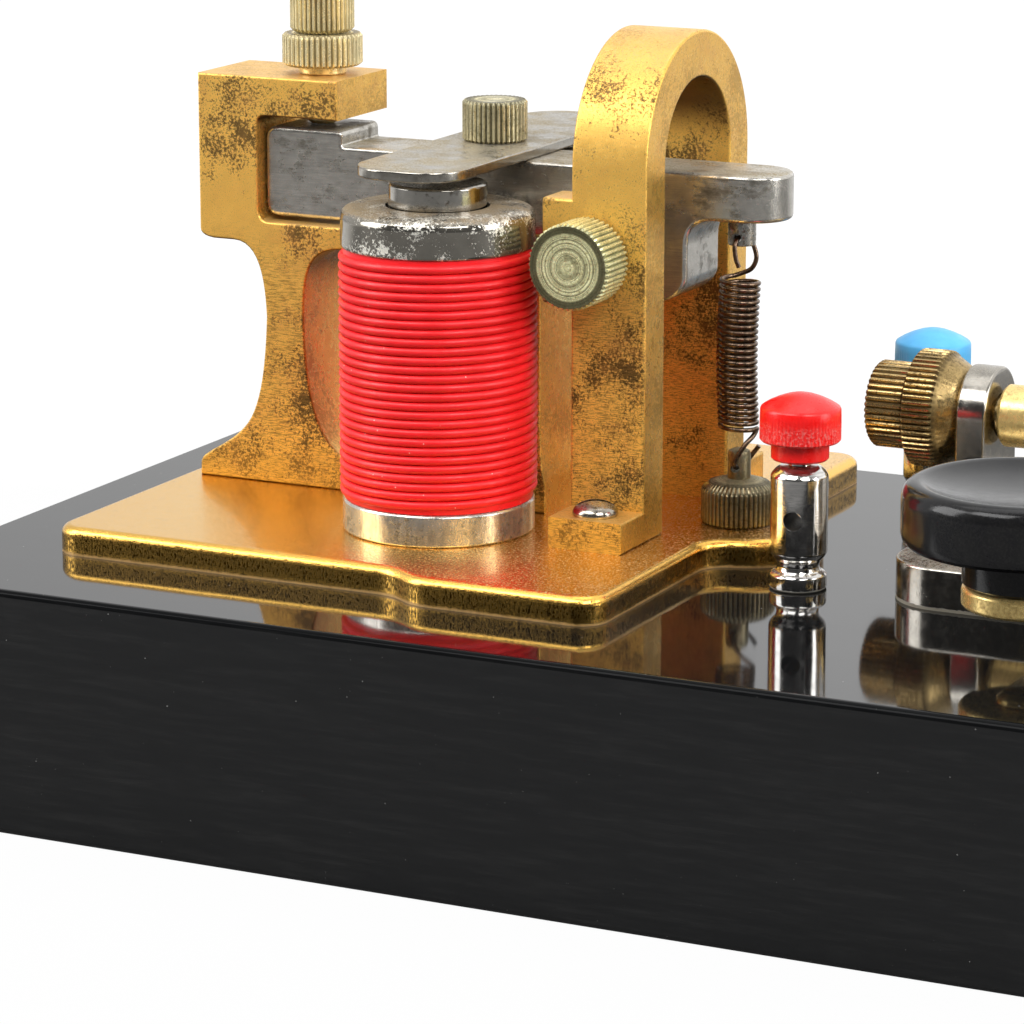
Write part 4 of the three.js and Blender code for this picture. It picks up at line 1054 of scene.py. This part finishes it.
def make_sounder_screws():
    shank = [(0, 43.8), (1.5, 43.8), (1.5, 49.7), (3.4, 49.7)]
    mesh = knurled("arm_screw", 49.75, 54.95, 0.3, shank)
    place = in_sounder(ARMATURE_X)
    piece("armature_thumb_screw", mesh, LOOKS["arm_screw"], "armature_screw", place)

    tip = [(0, 50.4), (1.6, 50.4), (2.1, 50.9), (2.1, 62.2), (3.4, 62.2)]
    mesh = knurled("stop_screw", 62.35, 71, 0.4, tip)
    place = in_sounder(STOP_X)
    piece("stop_thumb_screw", mesh, LOOKS["stop_screw"], "stop_screw", place)
    radius, teeth, depth = KNURLS["stop_nut"]
    nut = [(2.4, 56.85), (3.0, 56.85), (3.1, 57.0), (3.1, 57.85), (4.7, 57.9)]
    nut += ridges(radius, 57.9, 62.05, 0.35)[1:] + [(2.4, 62.05), (2.4, 56.85)]
    mesh = turned(nut, knurl=(teeth, depth, 57.95, 62.05))
    piece("stop_nut_made", mesh, LOOKS["stop_nut"], "stop_lock_nut", place)

    place = sounder_at + PIVOT
    for side, along in (("front", "-Y"), ("back", "+Y")):
        point = [(0, 4.3), (0.5, 4.3), (1.4, 5.6), (2, 6.2), (2, 16), (4.6, 16)]
        mesh = knurled("pivot", 16.1, 22.4, 0.3, point, -0.1, 0.05)
        piece(f"pivot_screw_{side}_made", mesh, LOOKS["pivot"], f"pivot_screw_{side}", place, along)

    for side, sign in (("front", -1), ("back", 1)):
        place = in_sounder(FOOT_SCREW.x, sign * FOOT_SCREW.y, FOOT_SCREW.z)
        piece(f"foot_screw_{side}_made", dome_screw(), LOOKS["dome"], f"arch_foot_screw_{side}", place)


def stretch(first, second, place, start, end):
    """The bodies of two nodes, and the places at two heights where a spring's ends meet them."""
    return body_of[first], body_of[second], place + Vector((0, 0, start)), place + Vector((0, 0, end))


def make_return_spring():
    place = in_sounder(SPRING_X)
    low, high = 15.6, 34.6
    coil_radius, wire = 2.33, 0.3
    steps, count, start = 28, 692, math.radians(130)
    bow = 0.35
    top = [(0.45, -2.0, 36.4), (0.1, -2.2, 37.6), (-0.1, -2.05, 39.1), (0, -1.2, 39.9)]
    top += [(0, 0.3, PIN_HOLE_Z), (0, 1.5, 39.9), (0.3, 2.35, 39.0), (0.7, 2.55, 37.9)]
    top += [(0.9, 2.5, 36.9), (0.65, 2.4, 36.0), (0.1, 2.35, 35.35), (-0.75, 2.15, 34.95)]
    path = smooth_path(top, 6)
    for i in range(count + 1):
        angle = start + TAU * i / steps
        share = i / count
        shift = -0.15 - bow * math.sin(math.pi * share)
        height = high - (high - low) * share
        path.append(Vector((*on_circle(coil_radius, angle, (shift, 0)), height)))
    end = [(2.0, 0.6, 15.3), (1.9, -0.4, 14.7), (1.3, -1.3, 13.8), (0.5, -1.95, 12.3), (0.1, -1.9, 11.2)]
    end += [(0, -0.9, ADJUSTER_HOLE_Z), (0.1, 0.8, 10.75), (0.5, 1.8, 11.3), (1.1, 2.2, 12.2)]
    end += [(1.7, 2.3, 13.0)]
    path += smooth_path(end, 6)[1:]
    ends = stretch("return_spring", "spring_adjuster", place, high, low)
    mesh = tube(path, wire, 10)
    piece("return_spring_wire", mesh, LOOKS["spring"], "return_spring", place, crease=60, stretched=ends)


def make_spring_holders():
    place = in_sounder(SPRING_X)
    pin = turned(soften([(0, 38.9), (1.75, 38.9), (1.75, 42.35), (1.2, 42.35), (1.2, 45), (0, 45)], 0.25), 64)
    hole = cross_hole(0.6, 3, (0, 0, PIN_HOLE_Z), segments=24)
    piece("spring_eye_pin", cut(pin, hole), LOOKS["steel"], "spring_pin", place)
    radius, teeth, depth = KNURLS["adjuster"]
    profile = [(0, -10), (1.5, -10), (1.5, 3.6), (4.5, 3.6)]
    profile += [(radius, 3.9 + 3.9 * k / 4) for k in range(5)]
    profile += [(4.55, 8.1), (3.8, 8.75), (2.5, 9.15), (1.46, 9.25), (1.46, 12.3), (1.3, 12.75)]
    profile += [(0.8, 13.0), (0, 13.05)]
    body = turned(profile, knurl=(teeth, depth, 3.5, 8.2))
    hole = cross_hole(0.6, 3, (0, 0, ADJUSTER_HOLE_Z), segments=24)
    piece("spring_adjuster_made", cut(body, hole), LOOKS["adjuster"], "spring_adjuster", place)


# ---------------------------------------------------------------- terminals

def make_post(color):
    place = middle(f"post_body_{color}")
    place.z = board_top
    bottom = lowest(f"post_body_{color}").z - board_top
    body = [(0, bottom), (1.5, bottom), (1.5, 0), (3.3, 0), (3.5, 0.2), (3.5, 1.75), (3.2, 2.1), (2.75, 2.3)]
    body += [(2.55, 2.9), (2.7, 3.5), (3.25, 4.1), (3.52, 4.6), (3.52, 14.1), (3.2, 14.6), (2.7, 15.1)]
    body += [(2.3, 15.3), (1.3, 15.3), (1.3, 18.9), (0, 18.9)]
    hole = spun(cross_hole(1.2, 6, (0, 0, 9), segments=32), 9, "Z")
    mesh = cut(turned(soften(body, 0.15), 96), hole)
    piece(f"post_{color}_made", mesh, LOOKS["post_chrome"], f"post_body_{color}", place)
    cap = [(1.6, 19.3), (1.6, 16.05), (3.3, 16.05), (3.53, 16.3), (3.53, 18.35), (4.7, 18.35)]
    cap += [(4.94, 18.6 + 1.9 * k / 3) for k in range(4)]
    cap += [(4.93, 21.4), (4.9, 22.3), (4.78, 22.55), (4.55, 22.72), (3.9, 23.12), (2.9, 23.6)]
    cap += [(1.8, 24.0), (0.9, 24.22), (0, 24.3), (0, 19.3)]
    mesh = turned(cap + [(1.6, 19.3)], knurl=(64, 0.09, 18.5, 20.6))
    piece(f"post_cap_{color}_made", mesh, LOOKS[f"{color}_cap"], f"post_cap_{color}", place)


# ---------------------------------------------------------------- key

SPRING_SCREW_Y = 4
BACK_STOP_Y = 34.5
CONTACT_Y = -6
KNOB_Y = -31.5


def key_base_outline():
    half, wing, front, back, corner = 23.2, 24.1, -17.7, 42, 7
    shape = Outline()
    shape.arc((-half + corner, front + corner), corner, 180, 270)
    shape.arc((half - corner, front + corner), corner, 270, 360)
    shape.line((half, 2)).curve((half, 5), (wing, 5), (wing, 8)).line((wing, 24))
    shape.curve((wing, 27), (half, 27), (half, 30))
    shape.arc((half - corner, back - corner), corner, 0, 90)
    shape.arc((-half + corner, back - corner), corner, 90, 180)
    shape.line((-half, 30)).curve((-half, 27), (-wing, 27), (-wing, 24)).line((-wing, 8))
    shape.curve((-wing, 5), (-half, 5), (-half, 2))
    return shape


def make_key_base():
    plate = slab([key_base_outline()], 0, 5.1, 0.35, steps=3, foot=True)
    y, z, radius = TRUNNION.y, TRUNNION.z, 6.1
    ear = Outline((y - radius, 4)).line((y + radius, 4)).arc((y, z), radius, 0, 180, 32)
    ears = [slab([ear], *sorted((side * 20.2, side * 24.1)), 0.4, "YZ", 3) for side in (-1, 1)]
    bores = cross_hole(2.8, 40, TRUNNION, "Y")
    body = cut(joined(plate, *ears), bores, moved(rod(4.3, -1, 8), 0, CONTACT_Y, 0))
    piece("key_base_body", body, LOOKS["key_nickel"], "key_base", key_at)


def make_key_lever():
    half, back, top, bottom = 4.5, 39.5, 19.2, 14.7
    strap_top, strap_bottom = 8.3, 6.3
    shape = Outline((back - 1.5, bottom)).bend((back, bottom), (back, bottom + 1.5)).line((back, top - 1.5))
    shape.bend((back, top), (back - 1.5, top)).line((0, top))
    shape.curve((-9, top), (-10, strap_top), (-21, strap_top), 18)
    shape.line((KNOB_Y, strap_top), (KNOB_Y, strap_bottom), (-19, strap_bottom))
    shape.curve((-9, strap_bottom), (-8, bottom), (0, bottom), 18)
    bar = slab([shape], -half, half, 0.35, "YZ", 3)
    boss = [(0, -19.5), (3.6, -19.5), (3.95, -19.1), (3.95, 19.1), (3.6, 19.5), (0, 19.5)]
    boss = moved(spun(turned(boss, 64), 90, "Y"), 0, TRUNNION.y, TRUNNION.z)
    pad = [(0, 5.7), (6.9, 5.7), (7.3, 6.1), (7.3, 7.9), (7.0, 8.25), (0, 8.25)]
    pad = moved(turned(soften(pad, 0.2), 96), 0, KNOB_Y, 0)
    holes = [moved(rod(1.8, 0, 30, 32), 0, y, 0) for y in (SPRING_SCREW_Y, BACK_STOP_Y)]
    holes.append(moved(rod(1.8, 0, 14.3, 32), 0, CONTACT_Y, 0))
    for side in (-1, 1):
        seat = spun(turned([(0, 16.5), (2.1, 16.5), (2.1, 22), (0, 22)], 32), 90 * side, "Y")
        holes.append(moved(seat, 0, TRUNNION.y, TRUNNION.z))
    body = cut(joined(bar, boss, pad), *holes)
    piece("key_lever_body", body, LOOKS["boss"], "key_lever", key_at)


def make_knob():
    top, low = 20.4, 13.0
    profile = [(0, top - 1.75), (3, top - 1.72), (6, top - 1.5), (8.8, top - 1.1), (10.7, top - 0.62)]
    profile += [(11.7, top - 0.2), (12.2, top - 0.04), (12.6, top), (13.2, top - 0.12), (13.75, top - 0.45)]
    profile += [(14.15, top - 0.95), (14.35, top - 1.6), (14.4, top - 2.4), (14.4, low + 1.4)]
    profile += [(14.2, low + 0.6), (13.7, low + 0.12), (12.9, low), (7.7, low), (7.35, low - 0.35)]
    profile += [(7.3, 8.7), (7.0, 8.4), (1.9, 8.4), (1.9, 15), (0, 15)]
    place = in_key(KNOB_Y)
    piece("knob_body", turned(profile, 160), LOOKS["black_cap"], "key_knob", place)
    screw = [(0, 4.4), (2.2, 4.4), (2.9, 5.0), (3.1, 5.6), (1.6, 5.6), (1.6, 14.6), (0, 14.6)]
    screw = cut(turned(soften(screw, 0.15), 48), box((-4, -0.35, 3), (4, 0.35, 5.0)))
    piece("knob_screw_made", screw, LOOKS["brass"], "knob_screw", place)


def make_trunnions():
    place = key_at + TRUNNION
    for side, along in (("left", "-X"), ("right", "+X")):
        point = [(0, 17.6), (0.6, 17.6), (1.8, 19.2), (2.5, 20.4), (2.5, 31.2), (4.7, 31.2)]
        mesh = knurled("trunnion_head", 31.35, 36.6, 0.4, point)
        screw = f"trunnion_screw_{side}"
        piece(f"{screw}_made", mesh, LOOKS["trunnion_head"], screw, place, along)
        _, teeth, depth = KNURLS["trunnion_nut"]
        nut = [(2.8, 24.2), (5.2, 24.2), (5.5, 24.4), (7.1, 26.9)]
        nut += [(7.45 + 0.05 * (k > 0), 27.2 + 3.6 * k / 4) for k in range(5)]
        nut += [(7.2, 31.0), (2.8, 31.0), (2.8, 24.2)]
        mesh = turned(nut, knurl=(teeth, depth, 27.1, 31.05))
        piece(f"trunnion_nut_{side}_made", mesh, LOOKS["trunnion_nut"], f"trunnion_nut_{side}", place, along)


def make_key_contacts():
    place = in_key(CONTACT_Y)
    bush_low, stud_low = [lowest(node).z - board_top for node in ("contact_bush", "contact_stud")]
    bush = [(2.5, bush_low), (4, bush_low), (4, 5.5), (3.7, 5.9), (2.5, 5.9), (2.5, bush_low)]
    stud = [(0, stud_low), (2.2, stud_low), (2.2, 8.0), (1.7, 8.55), (0, 8.6)]
    tip = [(0, 9.02), (0.95, 9.05), (1.5, 9.5), (1.5, 14), (0, 14)]
    rows = (("contact_bush", bush, 48, "black_cap"), ("contact_stud", stud, 48, "brass"),
            ("lever_contact", tip, 40, "chrome"))
    for node, profile, segments, look in rows:
        piece(f"{node}_made", turned(soften(profile, 0.15), segments), LOOKS[look], node, place)


def make_lever_screws():
    spring_tip = [(0, 12.6), (2.4, 12.6), (2.4, 13.4), (1.5, 13.4)]
    stop_tip = [(0, 5.2), (0.9, 5.2), (1.5, 5.8)]
    radius, teeth, depth = KNURLS["small_nut"]
    rows = (("spring_screw", "spring_screw_nut", SPRING_SCREW_Y, spring_tip),
            ("back_stop_screw", "back_stop_nut", BACK_STOP_Y, stop_tip))
    for screw, nut, y, below in rows:
        place = in_key(y)
        mesh = knurled("small_head", 21.85, 26.0, 0.3, below + [(1.5, 21.8), (3, 21.8)])
        piece(f"{screw}_made", mesh, LOOKS["small_head"], screw, place)
        profile = [(1.8, 19.25)] + ridges(radius, 19.25, 21.5, 0.3) + [(1.8, 21.5), (1.8, 19.25)]
        mesh = turned(profile, knurl=(teeth, depth, 19.4, 21.35))
        piece(f"{nut}_made", mesh, LOOKS["small_nut"], nut, place)


def make_key_spring():
    low, high, turns, steps, radius, wire = 5.4, 12.3, 7, 24, 2.25, 0.25
    path = []
    for i in range(turns * steps + 1):
        angle = TAU * i / steps
        share = i / (turns * steps)
        near_end = share < 0.08 or share > 0.92
        eased = 0.5 - 0.5 * math.cos(math.pi * share) if near_end else share
        path.append((*on_circle(radius, angle), low + (high - low) * eased))
    mesh = tube(path, wire, 10)
    place = in_key(SPRING_SCREW_Y)
    ends = stretch("key_spring", "key_lever", place, low, high)
    piece("key_spring_wire", mesh, LOOKS["spring"], "key_spring", place, crease=60, stretched=ends)


# ---------------------------------------------------------------- what stays from the CAD

def dress(node, look):
    """A CAD solid that keeps its shape and gets a finished material."""
    thing = frame["nodes"][node]
    thing.data.materials.clear()
    thing.data.materials.append(LOOKS[look])


# ---------------------------------------------------------------- make everything

def make_camera():
    data = bpy.data.cameras.new("camera")
    camera = bpy.data.objects.new("camera", data)
    bpy.context.scene.collection.objects.link(camera)
    bpy.context.scene.camera = camera
    data.lens = 148.4
    data.sensor_width = 36
    azimuth, elevation = math.radians(26.103), math.radians(13.667)
    flat = math.cos(elevation)
    back = Vector((math.sin(azimuth) * flat, -math.cos(azimuth) * flat, math.sin(elevation)))
    camera.location = Vector((195.81, -471.54, 161.65)) * MM
    camera.rotation_mode = "QUATERNION"
    camera.rotation_quaternion = (-back).to_track_quat("-Z", "Y")
    data.clip_start, data.clip_end = 0.01, 50


# Directions on the floor, away from the camera and to its right.
AWAY = (-0.44, 0.90, 0.0)
ACROSS = (0.898, 0.44, 0.0)


def make_world():
    """A soft tent: dark on the camera's side, bright behind, and a little brighter to the right.

    The camera itself sees plain white.
    """
    world = bpy.data.worlds.new("studio")
    bpy.context.scene.world = world
    nodes = Nodes(world)
    where = nodes.add("TexCoord").outputs["Generated"]
    depth = nodes.gradient(where, AWAY, -0.5, 0.1, 0.07, 0.96)
    breadth = nodes.gradient(where, ACROSS, -0.2, 0.2, 0.8, 1.28)
    strength = nodes.add("Math", {0: depth, 1: breadth}, operation="MULTIPLY")
    light = nodes.add("Background", {"Color": (1, 1, 1), "Strength": strength})
    seen = nodes.add("Background", {"Color": (1, 1, 1)})
    camera_ray = nodes.add("LightPath").outputs["Is Camera Ray"]
    nodes.add("OutputWorld", {0: nodes.add("MixShader", {0: camera_ray, 1: light, 2: seen})})


def make_light(name, place, size, power, target=(-20, 0, 50)):
    data = bpy.data.lights.new(name, "AREA")
    data.shape = "RECTANGLE"
    data.size, data.size_y = size[0] * MM, size[1] * MM
    data.energy = power
    lamp = bpy.data.objects.new(name, data)
    bpy.context.scene.collection.objects.link(lamp)
    lamp.location = Vector(place) * MM
    aim = (Vector(target) - Vector(place)).normalized()
    lamp.rotation_mode = "QUATERNION"
    lamp.rotation_quaternion = aim.to_track_quat("-Z", "Y")


def make_floor():
    """A pale floor that is darker near the camera, and close to plain white where the camera sees it."""
    size, thickness = 4000, 20
    mesh = slab([rounded_box(-size, size, -size, size, 200)], -thickness, 0, 0.0)
    mesh.transform(Matrix.Scale(MM, 4))
    floor = bpy.data.objects.new("floor", mesh)
    bpy.context.scene.collection.objects.link(floor)
    material = bpy.data.materials.new("pale_floor")
    nodes = Nodes(material)
    grey = nodes.gradient(nodes.add("TexCoord").outputs["Object"], AWAY, 0.17, 0.28, 0.11, 0.62)
    shader = nodes.add("BsdfPrincipled", {"Base Color": grey, "Roughness": 0.8})
    glow = nodes.add("Emission", {"Strength": 1.08})
    camera_ray = nodes.add("LightPath").outputs["Is Camera Ray"]
    share = nodes.add("Math", {0: camera_ray, 1: 0.9}, operation="MULTIPLY")
    nodes.add("OutputMaterial", {0: nodes.add("MixShader", {0: share, 1: shader, 2: glow})})
    mesh.materials.append(material)


make_camera()
make_world()
make_floor()
make_light("softbox_left", (-780, -420, 520), (500, 700), 6.5)
make_light("softbox_front", (-250, -750, 1000), (700, 500), 7.5)
make_light("softbox_front_right", (650, -560, 760), (500, 500), 7)
make_light("softbox_right", (850, 60, 320), (300, 600), 4)
make_light("softbox_top", (-100, 100, 900), (700, 500), 1.2)

make_board()
make_plate()
make_anvil()
make_arch()
for coil_side, coil_y in (("front", -COIL_Y), ("back", COIL_Y)):
    make_coil(coil_side, coil_y)
make_sounder_lever()
make_armature()
make_sounder_screws()
make_spring_holders()
make_return_spring()
for post_color in ("red", "blue"):
    make_post(post_color)
make_key_base()
make_key_lever()
make_knob()
make_trunnions()
make_key_contacts()
make_lever_screws()
make_key_spring()
KEPT_SOLIDS = {
    "steel": ("coil_screw_front", "coil_screw_back", "key_base_screw_left", "key_base_screw_right"),
    "brass": ("post_nut_red", "post_nut_blue"),
    "red_wire": ("wire_red_to_coil", "wire_coil_link", "wire_coil_to_key", "wire_key_to_blue"),
}
for kept_look, kept_nodes in KEPT_SOLIDS.items():
    for kept_node in kept_nodes:
        dress(kept_node, kept_look)

bpy.context.scene.view_settings.view_transform = "Standard"
